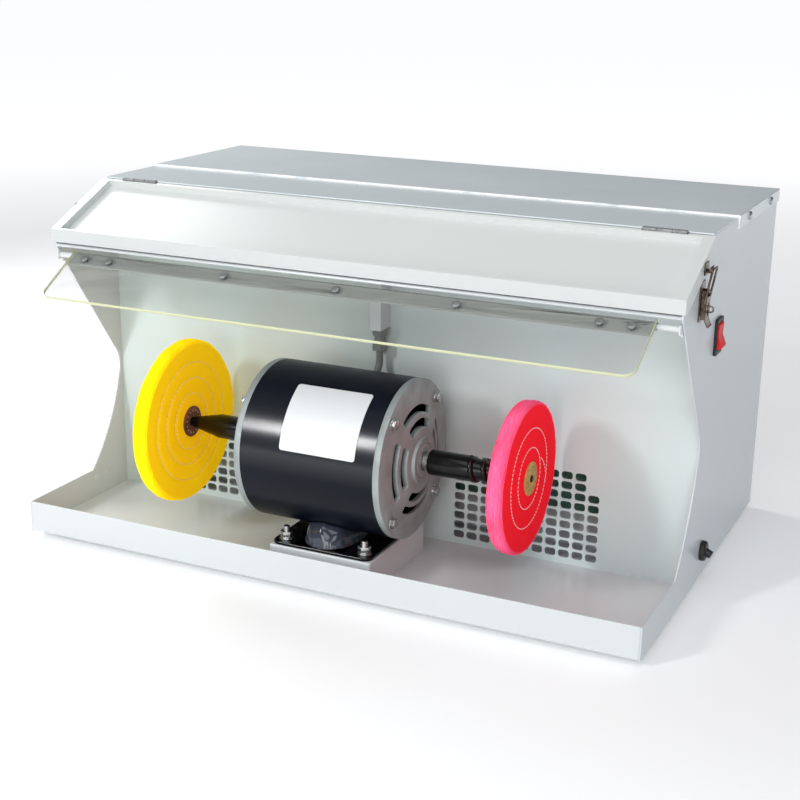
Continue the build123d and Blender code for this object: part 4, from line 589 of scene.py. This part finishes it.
def end_bell(node, sign):
    radii = [radius for ring in VENT_RINGS for radius in ring]
    front = [(10, 8), (10, 13.2), (9.2, 13.8), (9.2, 15.4), (10, 16), (10, 20.5)]
    front += [(HUB_FRONT, 20.5), (HUB_FRONT, HUB)] + [(dish_front(radius), radius) for radius in radii]
    front += [(0, FLAT), (0, DRUM), (-BELL_RIM, DRUM)]
    back = [(-BELL_RIM, SKIRT), (SKIRT_BACK, SKIRT)]
    back += [(dish_back(radius), radius) for radius in reversed(radii)]
    back += [(HUB_BACK, HUB), (-4, 20.5), (-4, 16.1), (6, 16.1), (6, 8)]
    profile = [(BELL_FACE[sign] + sign * out, radius) for out, radius in front + back]
    bm = bmesh.new()
    turned(bm, profile, Vector((0, motor_axis.y, motor_axis.z)), steps=BELL_STEPS, closed=True)
    tidy(bm)
    for ring in VENT_RINGS:
        for quarter in range(4):
            open_vent(bm, ring, quarter * math.pi / 2)
    tidy(bm)
    ends = [e for e in bm.edges if abs((e.verts[0].co - e.verts[1].co).normalized().x) > 0.99]
    soften(bm, 2.4, 60.0, 4, ends)
    soften(bm, 0.6)
    return piece(node + "_dish", bm, finish_of["cast_aluminium"], "cabinet", [node])


for node, sign in (("left_end_bell", -1), ("right_end_bell", 1)):
    end_bell(node, sign)

# %% [markdown]
# ### Bolts, nuts and studs
# Four long bolts hold the bells together, and four studs hold the base plate. A hexagon is a six-sided
# cone with equal radii; its edges are rounded and a washer lies under it. The studs' threads are turned
# as rings.


# %% Fasteners
def hexagon(bm, place, axis, half_flat, height):
    radius = MM * half_flat / math.cos(math.pi / 6)
    stand = along(axis, place + axis * MM * height / 2)
    bmesh.ops.create_cone(
        bm, cap_ends=True, segments=6, radius1=radius, radius2=radius, depth=MM * height, matrix=stand
    )


def washer(bm, place, axis, radius, thickness, steps):
    turned(bm, [(0, 0), (0, radius), (thickness, radius), (thickness, 0)], place, axis, steps)


def thread(bm, place, axis, radius, length, pitch=1.0):
    """A threaded end with a rounded tip."""
    turns = int(length / pitch)
    profile = [(0, 0)]
    for number in range(turns):
        profile += [(number * pitch, radius - 0.3), ((number + 0.5) * pitch, radius)]
    profile += [(turns * pitch, radius - 0.4), (turns * pitch + 0.4, radius - 1.0), (turns * pitch + 0.5, 0)]
    turned(bm, profile, place, axis, 24)


AXIS_Y, AXIS_Z = 67.0, 110.0
BOLT_CIRCLE, BOLT_WASHER, BOLT_HEAD = 62.0, 0.9, 3.4
bolts = bmesh.new()
for number in range(4):
    angle = math.radians(45 + 90 * number)
    y, z = AXIS_Y + BOLT_CIRCLE * math.cos(angle), AXIS_Z + BOLT_CIRCLE * math.sin(angle)
    for sign in (1, -1):
        washer(bolts, at(BELL_FACE[sign], y, z), sign * X_AXIS, 5.3, BOLT_WASHER, 32)
        hexagon(bolts, at(BELL_FACE[sign] + sign * BOLT_WASHER, y, z), sign * X_AXIS, 4.0, BOLT_HEAD)
    thread(bolts, at(BELL_FACE[-1] - BOLT_HEAD, y, z), -X_AXIS, 2.5, 2.5, 0.8)
tidy(bolts)
soften(bolts, 0.35, 50.0)
piece("through_bolts_turned", bolts, finish_of["zinc_steel"], "cabinet", ["through_bolts"])
PLATE_TOP = 34.0
STUD_WASHER, STUD_SPRING = 1.2, 1.3
NUT_SEAT = PLATE_TOP + STUD_WASHER + STUD_SPRING
LOW_NUT = 24.5
spring_ring = [(0, 3.2), (0, 5.4), (STUD_SPRING, 5.4), (STUD_SPRING, 3.2)]
studs = bmesh.new()
for x in (-33.0, 43.0):
    for y in (23.0, 111.0):
        washer(studs, at(x, y, PLATE_TOP), Z_AXIS, 6.5, STUD_WASHER, 40)
        turned(studs, spring_ring, at(x, y, PLATE_TOP + STUD_WASHER), Z_AXIS, 40, True)
        hexagon(studs, at(x, y, NUT_SEAT), Z_AXIS, 5.0, 4.6)
        thread(studs, at(x, y, NUT_SEAT + 4.0), Z_AXIS, 3.0, 5.0)
        hexagon(studs, at(x, y, LOW_NUT), Z_AXIS, 5.0, 5.0)
        thread(studs, at(x, y, LOW_NUT), -Z_AXIS, 3.0, 1.6, 0.8)
tidy(studs)
soften(studs, 0.4, 50.0)
piece("base_studs", studs, finish_of["zinc_steel"], "cabinet", ["base_fasteners"])

# %% [markdown]
# ### Saddle
# The motor sits on a pressed steel saddle: a dome with flutes down its front and back that stiffen the
# sheet. It is a height field, so a grid is lifted by one small function, never higher than the underside
# of the drum.

# %% Pressed saddle
SADDLE_HALF = (24.0, 52.0)
SADDLE_X, SADDLE_RISE, SADDLE_GAP = 3.0, 27.0, 0.4
FLUTE_DEPTH, FLUTE_PITCH = 0.24, 17.0


def saddle_height(x, y):
    """Height above the base plate; x and y are millimetres from the saddle's middle."""
    across, out = x / SADDLE_HALF[0], abs(y) / SADDLE_HALF[1]
    dome = SADDLE_RISE * math.sqrt(max(0.0, 1 - across ** 2 - out ** 4))
    flutes = 1 + FLUTE_DEPTH * math.cos(math.tau * x / FLUTE_PITCH) * out ** 6
    under_drum = AXIS_Z - PLATE_TOP - SADDLE_GAP - math.sqrt(DRUM ** 2 - y ** 2)
    return min(dome * flutes, under_drum)


saddle = bmesh.new()
bmesh.ops.create_grid(saddle, x_segments=64, y_segments=110, size=1.0)
for vert in saddle.verts:
    x, y = vert.co.x * SADDLE_HALF[0], vert.co.y * SADDLE_HALF[1]
    vert.co = at(SADDLE_X + x, AXIS_Y + y, PLATE_TOP + saddle_height(x, y))
bmesh.ops.holes_fill(saddle, edges=[edge for edge in saddle.edges if edge.is_boundary], sides=0)
tidy(saddle)
piece("pressed_saddle", saddle, saddle_enamel, "cabinet", ["motor_saddle"], 70.0)
rounded("motor_base_plate", 0.9, black_enamel, 3)

# %% [markdown]
# ### Blank plate
# A thin plate is bent round the drum and left blank. It starts flat, with its corners rounded, is cut
# into narrow strips so that it can bend, and is then rolled to the drum's radius.

# %% Blank plate
PLATE_X = (-26.0, 45.0)
PLATE_ANGLES = [math.radians(angle) for angle in (12.0, 63.0)]
PLATE_CORNER, PLATE_THICK, PLATE_GAP = 2.5, 0.4, 0.05
PLATE_STRIPS = 20
plate_half = [(PLATE_X[1] - PLATE_X[0]) / 2, DRUM * (PLATE_ANGLES[1] - PLATE_ANGLES[0]) / 2]
plate_finish = Finish("plate_aluminium")
brushed = plate_finish.mottle(40.0, 3.0, (3.0, 90.0, 90.0))
plate_finish.surface({
    "Base Color": plate_finish.tint(brushed, shade(228, 230, 231), shade(214, 217, 219)),
    "Metallic": 0.1,
    "Roughness": 0.4 + 0.15 * brushed,
    "Normal": plate_finish.bump(brushed, 0.00003, 0.3),
})
plate = bmesh.new()
bmesh.ops.create_grid(plate, x_segments=1, y_segments=1, size=1.0)
bmesh.ops.scale(plate, vec=(MM * plate_half[0], MM * plate_half[1], 1), verts=plate.verts)
bmesh.ops.bevel(
    plate, geom=plate.verts[:], offset=MM * PLATE_CORNER, offset_type="OFFSET", affect="VERTICES", segments=5,
    profile=0.5, material=-1,
)
for number in range(1, PLATE_STRIPS):
    cut = MM * plate_half[1] * (2 * number / PLATE_STRIPS - 1)
    bmesh.ops.bisect_plane(
        plate, geom=plate.verts[:] + plate.edges[:] + plate.faces[:], plane_co=(0, cut, 0), plane_no=Y_AXIS
    )
bmesh.ops.translate(plate, vec=(0, 0, PLATE_THICK * MM), verts=extruded(plate, plate.faces[:]))
for vert in plate.verts:
    swing_angle = sum(PLATE_ANGLES) / 2 + vert.co.y / (MM * DRUM)
    radius = DRUM + PLATE_GAP + vert.co.z / MM
    height, depth = radius * math.sin(swing_angle), radius * math.cos(swing_angle)
    vert.co = at(sum(PLATE_X) / 2 + vert.co.x / MM, AXIS_Y - depth, AXIS_Z + height)
tidy(plate)
piece("blank_plate", plate, plate_finish.material, "cabinet", ["nameplate"])

# %% [markdown]
# ### Arbors
# A buff is pushed onto a steel spindle that is turned to a taper. The left one is smooth. The right one
# has a coarse screw thread: a small bump is spun about the axis while it moves along, and then each point
# is drawn in so that the thread follows the taper.

# %% Turned arbors
ARBOR_RADIUS, ARBOR_THROAT, ARBOR_TIP = 11.0, 4.4, 3.0
ARBOR_BORE, BORE_DEPTH = 7.05, 20.0
THREAD_SINK, THREAD_STEPS = 0.9, 40
axis_line = Vector((0, motor_axis.y, motor_axis.z))


def arbor(sign, start, taper, throat, tip):
    bm = bmesh.new()
    deep = start + sign * BORE_DEPTH
    bore = [(deep, 0), (deep, ARBOR_BORE), (start, ARBOR_BORE)]
    outside = [
        (start, 10.2), (start + sign * 0.8, ARBOR_RADIUS), (taper - sign * 1.2, ARBOR_RADIUS),
        (taper, ARBOR_RADIUS - 0.35), (throat, ARBOR_THROAT), (tip - sign * 0.6, ARBOR_TIP), (tip, 2.3),
        (tip, 0),
    ]
    turned(bm, bore + outside, axis_line, steps=64)
    return bm


def taper_radius(x, taper, throat):
    share = (x - taper) / (throat - taper)
    return ARBOR_RADIUS + share * (ARBOR_THROAT - ARBOR_RADIUS)


def coarse_thread(bm, taper, throat, turns, crest):
    """A round ridge that winds along the taper."""
    first = len(bm.verts)
    steps = THREAD_STEPS * turns
    pitch = (throat - taper - 2 * crest) / turns
    ring = bmesh.ops.create_circle(
        bm, cap_ends=True, segments=14, radius=MM * crest, matrix=along(Y_AXIS, axis_line)
    )["verts"]
    bmesh.ops.translate(bm, vec=MM * Vector((taper + crest, 0, ARBOR_RADIUS - THREAD_SINK)), verts=ring)
    faces = list({face for vert in ring for face in vert.link_faces})
    edges = list({edge for vert in ring for edge in vert.link_edges})
    bmesh.ops.spin(
        bm, geom=ring + edges + faces, cent=axis_line, axis=X_AXIS, dvec=MM * pitch * turns / steps * X_AXIS,
        angle=math.tau * turns, steps=steps, use_merge=False,
    )
    bm.verts.ensure_lookup_table()
    for vert in bm.verts[first:]:
        spoke = vert.co - axis_line
        flat = Vector((0, spoke.y, spoke.z))
        drop = ARBOR_RADIUS - taper_radius(spoke.x / MM, taper, throat)
        vert.co -= flat.normalized() * MM * drop


left_arbor = arbor(-1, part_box("left_arbor")[1].x / MM, taper=-127.0, throat=-155.5, tip=-173.5)
tidy(left_arbor)
soften(left_arbor, 0.3, 40.0)
piece("left_arbor_turned", left_arbor, finish_of["black_steel"], "rotor", ["left_arbor"])
right_arbor = arbor(1, 84.0, taper=121.0, throat=158.5, tip=176.5)
coarse_thread(right_arbor, taper=119.0, throat=158.5, turns=3, crest=2.7)
tidy(right_arbor)
piece("right_arbor_turned", right_arbor, finish_of["black_steel"], "rotor", ["right_arbor"])

# %% [markdown]
# ## Buffs
# A buff is a stack of cotton discs sewn together in rings. Every ply here is its own thin ring of cloth:
# the outer two are whole discs that dip where the stitches pull them in, and the ones between only show
# at the rim. Noise makes each rim ply run in and out a little, as frayed cloth does. The stitches are
# small rounded threads.


# %% Cloth and thread
WEAVE = 0.0009


def buff_cloth(name, node, near_hub, face_tone, rim_tone, soil, painted_glow):
    finish = Finish(name)
    low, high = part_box(node)
    reach = high.z - low.z
    x, y, z = finish.axes((low + high) / 2)
    radius = (y * y + z * z) ** 0.5
    warp = finish.maths("SINE", y * (math.tau / WEAVE))
    weft = finish.maths("SINE", z * (math.tau / WEAVE))
    fuzz = finish.mottle(1400.0, 4.0)
    smear = finish.mottle(30.0, 5.0)
    cloth = finish.tint(finish.spread(radius, 0.1 * reach, 0.42 * reach), near_hub, face_tone)
    cloth = finish.tint(finish.spread(radius, 0.465 * reach, 0.492 * reach), cloth, rim_tone)
    cloth = finish.tint(0.55 * finish.spread(smear, 0.45, 0.85), cloth, soil)
    finish.surface({
        "Base Color": cloth,
        "Roughness": 0.78 + 0.2 * fuzz,
        "Specular IOR Level": 0.1,
        # The cloth also glows in its own colour. This is painted light that makes its faces brighter than the
        # lamps alone do.
        "Emission Color": cloth,
        "Emission Strength": painted_glow,
        "Normal": finish.bump(0.22 * (warp * weft) + fuzz, 0.0004, 0.5),
    })
    return finish.material


def sewing_thread(name, tone, shadow):
    finish = Finish(name)
    twist = finish.mottle(1800.0, 2.0)
    colour = finish.tint(twist, tone, shadow)
    finish.surface({"Base Color": colour, "Roughness": 0.7, "Normal": finish.bump(twist, 0.0002, 0.5)})
    return finish.material


def leather(name, tone, dark):
    finish = Finish(name)
    pores = finish.node("ShaderNodeTexVoronoi", None, {"Vector": finish.place, "Scale": 900.0})
    wear = finish.mottle(120.0, 4.0)
    colour = finish.tint(finish.spread(wear, 0.3, 0.75), tone, dark)
    finish.surface({
        "Base Color": colour, "Roughness": 0.5 + 0.25 * wear, "Normal": finish.bump(pores, 0.0002, 0.5),
    })
    return finish.material


# %% Plies and stitches
STITCH_DIP, STITCH_WIDTH = 0.75, 1.7
HUB_HOLE = 5.0
FACE_TO, RIM_FROM = 0.73, 0.74
FACE_STEPS, RIM_STEPS = 46, 7
PLY_HALF = 0.42
LOOSE_FROM = 0.78


def hub_dip(radius, rings):
    """How far the stitches pull the face in, in millimetres."""
    return sum(STITCH_DIP * math.exp(-((radius - ring) / STITCH_WIDTH) ** 2) for ring in rings)


def cloth_buff(node, finish, plies, rings, seed, spread_edge):
    low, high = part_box(node)
    centre = (low + high) / 2
    half, reach = (high.x - low.x) / 2 / MM, (high.z - low.z) / 2 / MM
    thick = 2 * half / plies
    bm = bmesh.new()
    for number in range(plies):
        share = 2 * number / (plies - 1) - 1
        edge = reach - 0.5 - spread_edge * abs(share) ** 3
        outer = abs(share) == 1
        inside = RIM_FROM * reach
        radii = [inside + (edge - inside) * step / RIM_STEPS for step in range(RIM_STEPS + 1)]
        if outer:
            span = FACE_TO * reach - HUB_HOLE
            radii = [HUB_HOLE + span * step / FACE_STEPS for step in range(FACE_STEPS + 1)] + radii
        lean = [share * (half - thick / 2) - share * outer * hub_dip(radius, rings) for radius in radii]
        near = [(x - PLY_HALF * thick, radius) for x, radius in zip(lean, radii)]
        far = [(x + PLY_HALF * thick, radius) for x, radius in zip(lean, radii)]
        for vert in turned(bm, near + far[::-1], centre, steps=160, closed=True):
            spoke = vert.co - centre
            flat = Vector((0, spoke.y, spoke.z))
            loose = max(0.0, flat.length / MM / reach - LOOSE_FROM) / (1 - LOOSE_FROM)
            ring = flat.normalized()
            slow = noise.noise(2.2 * ring + Vector((seed + 0.12 * number, 0, 0)))
            quick = noise.noise(17.0 * ring + Vector((seed + 0.9 * number, 0, 0)))
            ripple = noise.noise(6.0 * ring + Vector((seed + 0.25 * number, 4, 0)))
            vert.co += MM * loose ** 2 * ((1.1 * slow + 0.9 * quick - 0.6) * ring + 0.5 * ripple * X_AXIS)
    tidy(bm)
    return piece(node + "_plies", bm, finish, "rotor", [node], 70.0)


bead = bmesh.new()
bmesh.ops.create_uvsphere(bead, u_segments=6, v_segments=4, radius=1.0)
bead_mesh = bpy.data.meshes.new("bead")
bead.to_mesh(bead_mesh)
bead.free()


def stitch(bm, place, size):
    """One short thread: a rounded bead stretched along Y before it is placed."""
    copy = bead_mesh.copy()
    copy.transform(place @ Matrix.Diagonal((*[MM * value for value in size], 1.0)))
    bm.from_mesh(copy)
    bpy.data.meshes.remove(copy)


def stitches(node, finish, ways, rings, pitch, size):
    """Threads along (start angle, sweep, radius from, radius to) ways, on both faces."""
    low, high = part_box(node)
    centre = (low + high) / 2
    bm = bmesh.new()
    for side, face in ((-1, low.x), (1, high.x)):
        for start, sweep, radius_from, radius_to in ways:
            round_way = math.radians(sweep) * (radius_from + radius_to) / 2
            slant = math.atan2(radius_from - radius_to, round_way)
            count = int(math.hypot(round_way, radius_to - radius_from) / pitch)
            for number in range(count):
                share = number / count
                radius = radius_from + share * (radius_to - radius_from)
                spin = Matrix.Rotation(math.radians(start + share * sweep), 4, "X")
                lean = Matrix.Rotation(slant + random.uniform(-0.12, 0.12), 4, "X")
                sunk = MM * (hub_dip(radius, rings) - 0.1)
                out = Matrix.Translation((face - side * sunk, centre.y, centre.z))
                stitch(bm, out @ spin @ Matrix.Translation((0, 0, MM * radius)) @ lean, size)
    return piece(node + "_stitches", bm, finish, "rotor")


random.seed(11)
YELLOW_RINGS = (26.0, 40.5, 55.0)
RED_RINGS = (26.0, 42.5)
yellow_cloth = buff_cloth(
    "yellow_cloth", "yellow_buff", near_hub=shade(252, 188, 10), face_tone=shade(254, 200, 10),
    rim_tone=shade(255, 230, 14), soil=shade(250, 186, 8), painted_glow=0.34,
)
red_cloth = buff_cloth(
    "red_cloth", "red_buff", near_hub=shade(250, 18, 36), face_tone=shade(252, 24, 42),
    rim_tone=shade(248, 104, 152), soil=shade(240, 20, 40), painted_glow=0.2,
)
cloth_buff("yellow_buff", yellow_cloth, 14, YELLOW_RINGS, 3.0, 3.0)
cloth_buff("red_buff", red_cloth, 14, RED_RINGS, 21.0, 1.6)
pale_thread = sewing_thread("yellow_thread", shade(255, 232, 150), shade(250, 214, 110))
white_thread = sewing_thread("white_thread", shade(252, 226, 222), shade(240, 190, 190))
yellow_ways = [(0, 360, ring, ring) for ring in YELLOW_RINGS]
stitches("yellow_buff", pale_thread, yellow_ways, YELLOW_RINGS, 4.6, (0.5, 2.1, 0.6))
red_ways = [(0, 360, ring, ring) for ring in RED_RINGS] + [(250, 46, 42.5, 26.0)]
stitches("red_buff", white_thread, red_ways, RED_RINGS, 3.6, (0.45, 1.5, 0.55))


# %% Leather hub discs
LEATHER = 1.5
EYELET_CIRCLE = 10.4


def hub_discs(node, finish, dots, dot_finish):
    """A leather disc on each face of a buff, and the ring of small eyelets on it."""
    low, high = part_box(node)
    centre = (low + high) / 2
    discs, studs = bmesh.new(), bmesh.new()
    rim = [(0, 14.4), (0.8, 14.5), (1.3, 13.8), (LEATHER, 12.4), (1.35, 8.5), (LEATHER, 6.0)]
    for side, face in ((-1, low.x), (1, high.x)):
        hole = 4.6 if abs(face) < abs(centre.x) else 3.3
        base = Vector((face - side * LEATHER * MM, centre.y, centre.z))
        outline = [(0, hole), *rim, (1.3, hole)]
        turned(discs, [(side * out, radius) for out, radius in outline], base, steps=48, closed=True)
        for number in range(dots):
            spin = Matrix.Rotation(math.tau * number / dots, 4, "X")
            spot = Matrix.Translation((face - side * 0.1 * MM, centre.y, centre.z)) @ spin
            stitch(studs, spot @ Matrix.Translation((0, 0, EYELET_CIRCLE * MM)), (0.45, 0.85, 0.85))
    tidy(discs)
    piece(node + "_leather", discs, finish, "rotor", [node])
    piece(node + "_eyelets", studs, dot_finish, "rotor")


brown_leather = leather("brown_leather", shade(128, 74, 44), shade(92, 50, 30))
tan_leather = leather("tan_leather", shade(206, 164, 92), shade(178, 134, 70))
pale_eyelets = sewing_thread("pale_eyelets", shade(214, 172, 150), shade(180, 130, 105))
tan_eyelets = sewing_thread("tan_eyelets", shade(170, 128, 62), shade(140, 100, 50))
hub_discs("yellow_hub_discs", brown_leather, 14, pale_eyelets)
hub_discs("red_hub_discs", tan_leather, 12, tan_eyelets)

# %% [markdown]
# ## Cabinet pieces with rounded edges
# Sheet parts keep their CAD shape, with their edges rounded as folding and painting leave them. Small
# moulded and pressed parts get the same treatment with their own radius. The lid's front face gets a greyer
# copy of the lid's paint, painted shade that makes it read darker than the panel above.

# %% Rounded sheet and mouldings
edge_radius = {
    "lid": 0.6, "left_side_panel": 0.5, "right_side_panel": 0.5, "base_tray": 0.5, "hood_floor": 0.4,
    "hinge_strip": 0.4, "top_cover": 0.4, "motor_plinth": 0.7, "wire_duct": 0.5, "shield_strip": 0.25,
    "shield_brackets": 0.3, "switch_housing": 0.5, "switch_rocker": 0.7, "latch_bases": 0.22,
    "latch_keepers": 0.22, "left_latch_lever": 0.2, "right_latch_lever": 0.2, "cable_gland": 0.35,
    "cord_bush": 0.4, "filter_frame": 0.5, "hinge_leaves": 0.2, "lid_hinge_leaves": 0.2,
}
own_paint = {
    "lid": lid_lit_paint, "top_cover": cover_painted_sheen, "hinge_strip": cover_painted_sheen, "shield_strip": strip_painted_shade,
    "hinge_leaves": dull_zinc, "lid_hinge_leaves": dull_zinc, "left_side_panel": side_painted_shade,
    "right_side_panel": side_painted_shade,
}
for node, radius in edge_radius.items():
    rounded(node, radius, own_paint.get(node, finish_of[slot_of[node]]))
lid_mesh = bpy.data.objects["lid_rounded"].data
lid_mesh.materials.append(fascia_painted_shade)
FASCIA_TOP, FASCIA_LEAN = 279.0, 0.75
for face in lid_mesh.polygons:
    low_down = face.center.z < at(0, 0, FASCIA_TOP).z
    face.material_index = int(low_down and face.normal.y < -FASCIA_LEAN)
print("faces of the lid's front", sum(face.material_index for face in lid_mesh.polygons))

# %% [markdown]
# ### Screws
# The cover and the shield are held by pan-head screws with a cross recess. A turned head is cut along
# four planes, and the faces inside the cross are pushed in and drawn together, as the tool that stamps
# the recess does.

# %% Cross-recess screws
CROSS_ARM, CROSS_TAPER, CROSS_DEPTH = 0.5, 0.75, 0.6


def cross_screw(bm, place, axis, height, tail):
    part = bmesh.new()
    profile = [
        (-tail, 0), (-tail, 2.0), (0, 2.0), (0, 3.7), (0.4 * height, 3.8), (0.8 * height, 3.2), (height, 2.3),
        (height, 0),
    ]
    turned(part, profile, Vector(), Z_AXIS, 32)
    tidy(part)
    arm = CROSS_ARM * MM
    for normal in (X_AXIS, Y_AXIS):
        for side in (-1, 1):
            every = part.verts[:] + part.edges[:] + part.faces[:]
            bmesh.ops.bisect_plane(part, geom=every, plane_co=side * arm * normal, plane_no=normal)
    cross = []
    for face in part.faces:
        middle_of = face.calc_center_median()
        if middle_of.z > 0.99 * height * MM and min(abs(middle_of.x), abs(middle_of.y)) < arm:
            cross.append(face)
    inside = extruded(part, cross)
    bmesh.ops.scale(part, vec=(CROSS_TAPER, CROSS_TAPER, 1), verts=inside)
    bmesh.ops.translate(part, vec=(0, 0, -CROSS_DEPTH * height * MM), verts=inside)
    spin = Matrix.Rotation(random.uniform(0, math.pi), 4, "Z")
    bmesh.ops.transform(part, matrix=along(axis, place) @ spin, verts=part.verts)
    joined(bm, part)


COVER_SIDE, COVER_BACK, SCREW_LEVEL = 296.5, 391.5, 310.75
cover_screws = bmesh.new()
for sign in (-1, 1):
    for y in (262.0, 350.0):
        cross_screw(cover_screws, at(sign * COVER_SIDE, y, SCREW_LEVEL), sign * X_AXIS, 2.2, 8.0)
for x in (-200.0, 0.0, 200.0):
    cross_screw(cover_screws, at(x, COVER_BACK, SCREW_LEVEL), Y_AXIS, 2.2, 8.0)
piece(
    "cover_screws_stamped", cover_screws, finish_of["zinc_steel"], "cabinet",
    ["cabinet_screws"],
)
SHIELD_SLOPE = math.radians(30.0)
SEAT_OUT, SEAT_UP = 9.0, 6.5
shield_pivot = at(0, 62.0, 253.5)
shield_up = Vector((0, -math.sin(SHIELD_SLOPE), math.cos(SHIELD_SLOPE)))
shield_out = Vector((0, -math.cos(SHIELD_SLOPE), -math.sin(SHIELD_SLOPE)))
shield_screws = bmesh.new()
for x in (-257.0, -231.0, -110.0, 0.0, 110.0, 231.0, 257.0):
    seat = shield_pivot + MM * (x * X_AXIS + SEAT_OUT * shield_out + SEAT_UP * shield_up)
    cross_screw(shield_screws, seat, shield_up, 1.6, 5.5)
piece("shield_screws_stamped", shield_screws, dull_zinc, "shield", ["shield_screws"])

# %% [markdown]
# ## Clear shield
# The shield is a sheet of clear, slightly smoky acrylic. Seen flat on it only darkens what is behind it,
# but its sawn edges gather light and glow pale yellow. So the flat faces are nearly transparent with
# faint smears, and the edges have a finish of their own: a pale yellow tone and a faint emission, painted
# light that stands in for that glow.

# %% Acrylic
acrylic = Finish("clear_acrylic")
smears = acrylic.mottle(9.0, 4.0, (1, 1, 3))
acrylic.surface({
    "Base Color": shade(74, 82, 78),
    "Alpha": 0.11 + 0.04 * acrylic.spread(smears, 0.42, 0.8),
    "Roughness": 0.04 + 0.1 * smears,
    "IOR": 1.49,
})
sawn_edge = Finish("acrylic_edge")
saw_marks = sawn_edge.mottle(300.0, 2.0)
edge_tone = sawn_edge.tint(saw_marks, shade(208, 212, 178), shade(196, 200, 160))
# The edge's pale yellow tone and its faint emission are painted light for the light the sheet gathers at its
# edges.
sawn_edge.surface({
    "Base Color": edge_tone, "Roughness": 0.2 + 0.2 * saw_marks, "Emission Color": edge_tone,
    "Emission Strength": 0.03, "Normal": sawn_edge.bump(saw_marks, 0.0001, 0.3),
})
sheet = cad_copy("shield")
soften(sheet, 0.35)
free_edge = 51.0 * MM
shield_end = 0.95 * max(vert.co.x for vert in sheet.verts)
for face in sheet.faces:
    spot = face.calc_center_median()
    reach = (spot - shield_pivot).dot(shield_out)
    cut = abs(face.normal.dot(shield_up)) < 0.95
    face.material_index = int(cut and (reach > free_edge or abs(spot.x) > shield_end))
clear_shield = piece("clear_shield", sheet, acrylic.material, "shield", ["shield"])
clear_shield.data.materials.append(sawn_edge.material)

# %% [markdown]
# ## Motor cable
# A short grey cable comes out of the gland and bends down into the motor. It is a curve with a round
# bevel, and its control points are the cable's route: straight out of the gland, the corner of the bend
# and the motor.

# %% Cable
CABLE_RADIUS = 3.2
cable_route = [(-2, 142, 212), (-2, 142, 200), (-2, 142, 176), (-2, 142, 162.5), (-2, 121.5, 148.1)]
cable_curve = bpy.data.curves.new("motor_cable_cord", "CURVE")
cable_curve.dimensions = "3D"
cable_curve.bevel_depth = CABLE_RADIUS * MM
cable_curve.bevel_resolution = 6
cable_curve.resolution_u = 12
cable_curve.use_fill_caps = True
line = cable_curve.splines.new("NURBS")
line.points.add(len(cable_route) - 1)
for point, place in zip(line.points, cable_route):
    point.co = (*at(*place), 1.0)
line.order_u = 3
line.use_endpoint_u = True
cable_curve.materials.append(finish_of["cable_grey"])
cable = bpy.data.objects.new("motor_cable_cord", cable_curve)
bpy.context.scene.collection.objects.link(cable)
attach(cable, "cabinet")
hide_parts("motor_cable")

# %% [markdown]
# ## Filter, windings and feet
# Behind the grilles hangs a mat of green fleece, and the copper end turns show through the motor's vents.
# The mat is a slab with an uneven surface. The turns are many wire rings side by side. The rubber feet
# are turned.

# %% Fleece
MAT_SKIN = 2.0
fleece = Finish("filter_green")
fibre = fleece.mottle(700.0, 6.0)
tufts = fleece.mottle(90.0, 4.0)
green = fleece.tint(fleece.spread(tufts, 0.3, 0.75), shade(11, 72, 56), shade(4, 38, 31))
fleece.surface({
    "Base Color": fleece.tint(0.4 * fibre, green, shade(150, 190, 168)),
    "Roughness": 0.92,
    "Normal": fleece.bump(fibre, 0.001, 0.8),
})
low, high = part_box("filter_mat")
mat = bmesh.new()
bmesh.ops.create_grid(mat, x_segments=124, y_segments=48, size=1.0)
for vert in mat.verts:
    x = (low.x + high.x) / 2 + vert.co.x * (high.x - low.x) / 2
    vert.co = (x, low.y + MAT_SKIN * MM, (low.z + high.z) / 2 + vert.co.y * (high.z - low.z) / 2)
mat_depth = high.y - low.y - 2 * MAT_SKIN * MM
bmesh.ops.translate(mat, vec=(0, mat_depth, 0), verts=extruded(mat, mat.faces[:]))
for vert in mat.verts:
    vert.co.y += 1.6 * MM * noise.noise(60 * vert.co) + 0.4 * MM * noise.noise(300 * vert.co)
tidy(mat)
fleece_mat = piece("filter_fleece", mat, fleece.material, "cabinet", ["filter_mat"], 80.0)

# %% Copper end turns
copper = plain_metal("copper_wire", shade(190, 96, 52), shade(140, 62, 32), 0.3, 200.0)
turns = bmesh.new()
WIRE, WIRE_SIDES = 1.7, 8
LAYER_PITCH, ROW_PITCH, FIRST_ROW = 3.4, 3.3, 43.2
turns_low, turns_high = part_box("stator_windings")
for sign, face in ((-1, turns_low.x / MM), (1, turns_high.x / MM)):
    for layer in range(4):
        for row in range(4):
            out = face - sign * (2.0 + LAYER_PITCH * layer)
            radius = FIRST_ROW + ROW_PITCH * row - 0.5 * (layer % 2)
            spins = [math.tau * side / WIRE_SIDES for side in range(WIRE_SIDES)]
            ring = [(out + WIRE * math.cos(spin), radius + WIRE * math.sin(spin)) for spin in spins]
            turned(turns, ring, axis_line, steps=80, closed=True)
for vert in turns.verts:
    spoke = vert.co - axis_line
    vert.co += MM * 0.5 * noise.noise(140 * spoke) * Vector((0, spoke.y, spoke.z)).normalized()
tidy(turns)
piece("copper_end_turns", turns, copper, "cabinet", ["stator_windings"], 80.0)

# %% Feet
rubber_feet = bmesh.new()
foot = [
    (-5.2, 0), (-5.2, 4.5), (-6, 5), (-6, 9.0), (-5.4, 9.9), (-0.8, 11), (0, 10.8), (0, 3.9), (1.5, 3.9),
    (1.5, 5.1), (2.2, 5.2), (4.5, 4.2), (4.5, 0),
]
for x in (-262.0, 262.0):
    for y in (42.0, 360.0):
        turned(rubber_feet, foot, at(x, y, 0), Z_AXIS, 48)
tidy(rubber_feet)
piece("turned_feet", rubber_feet, finish_of["rubber_black"], "cabinet", ["feet"])
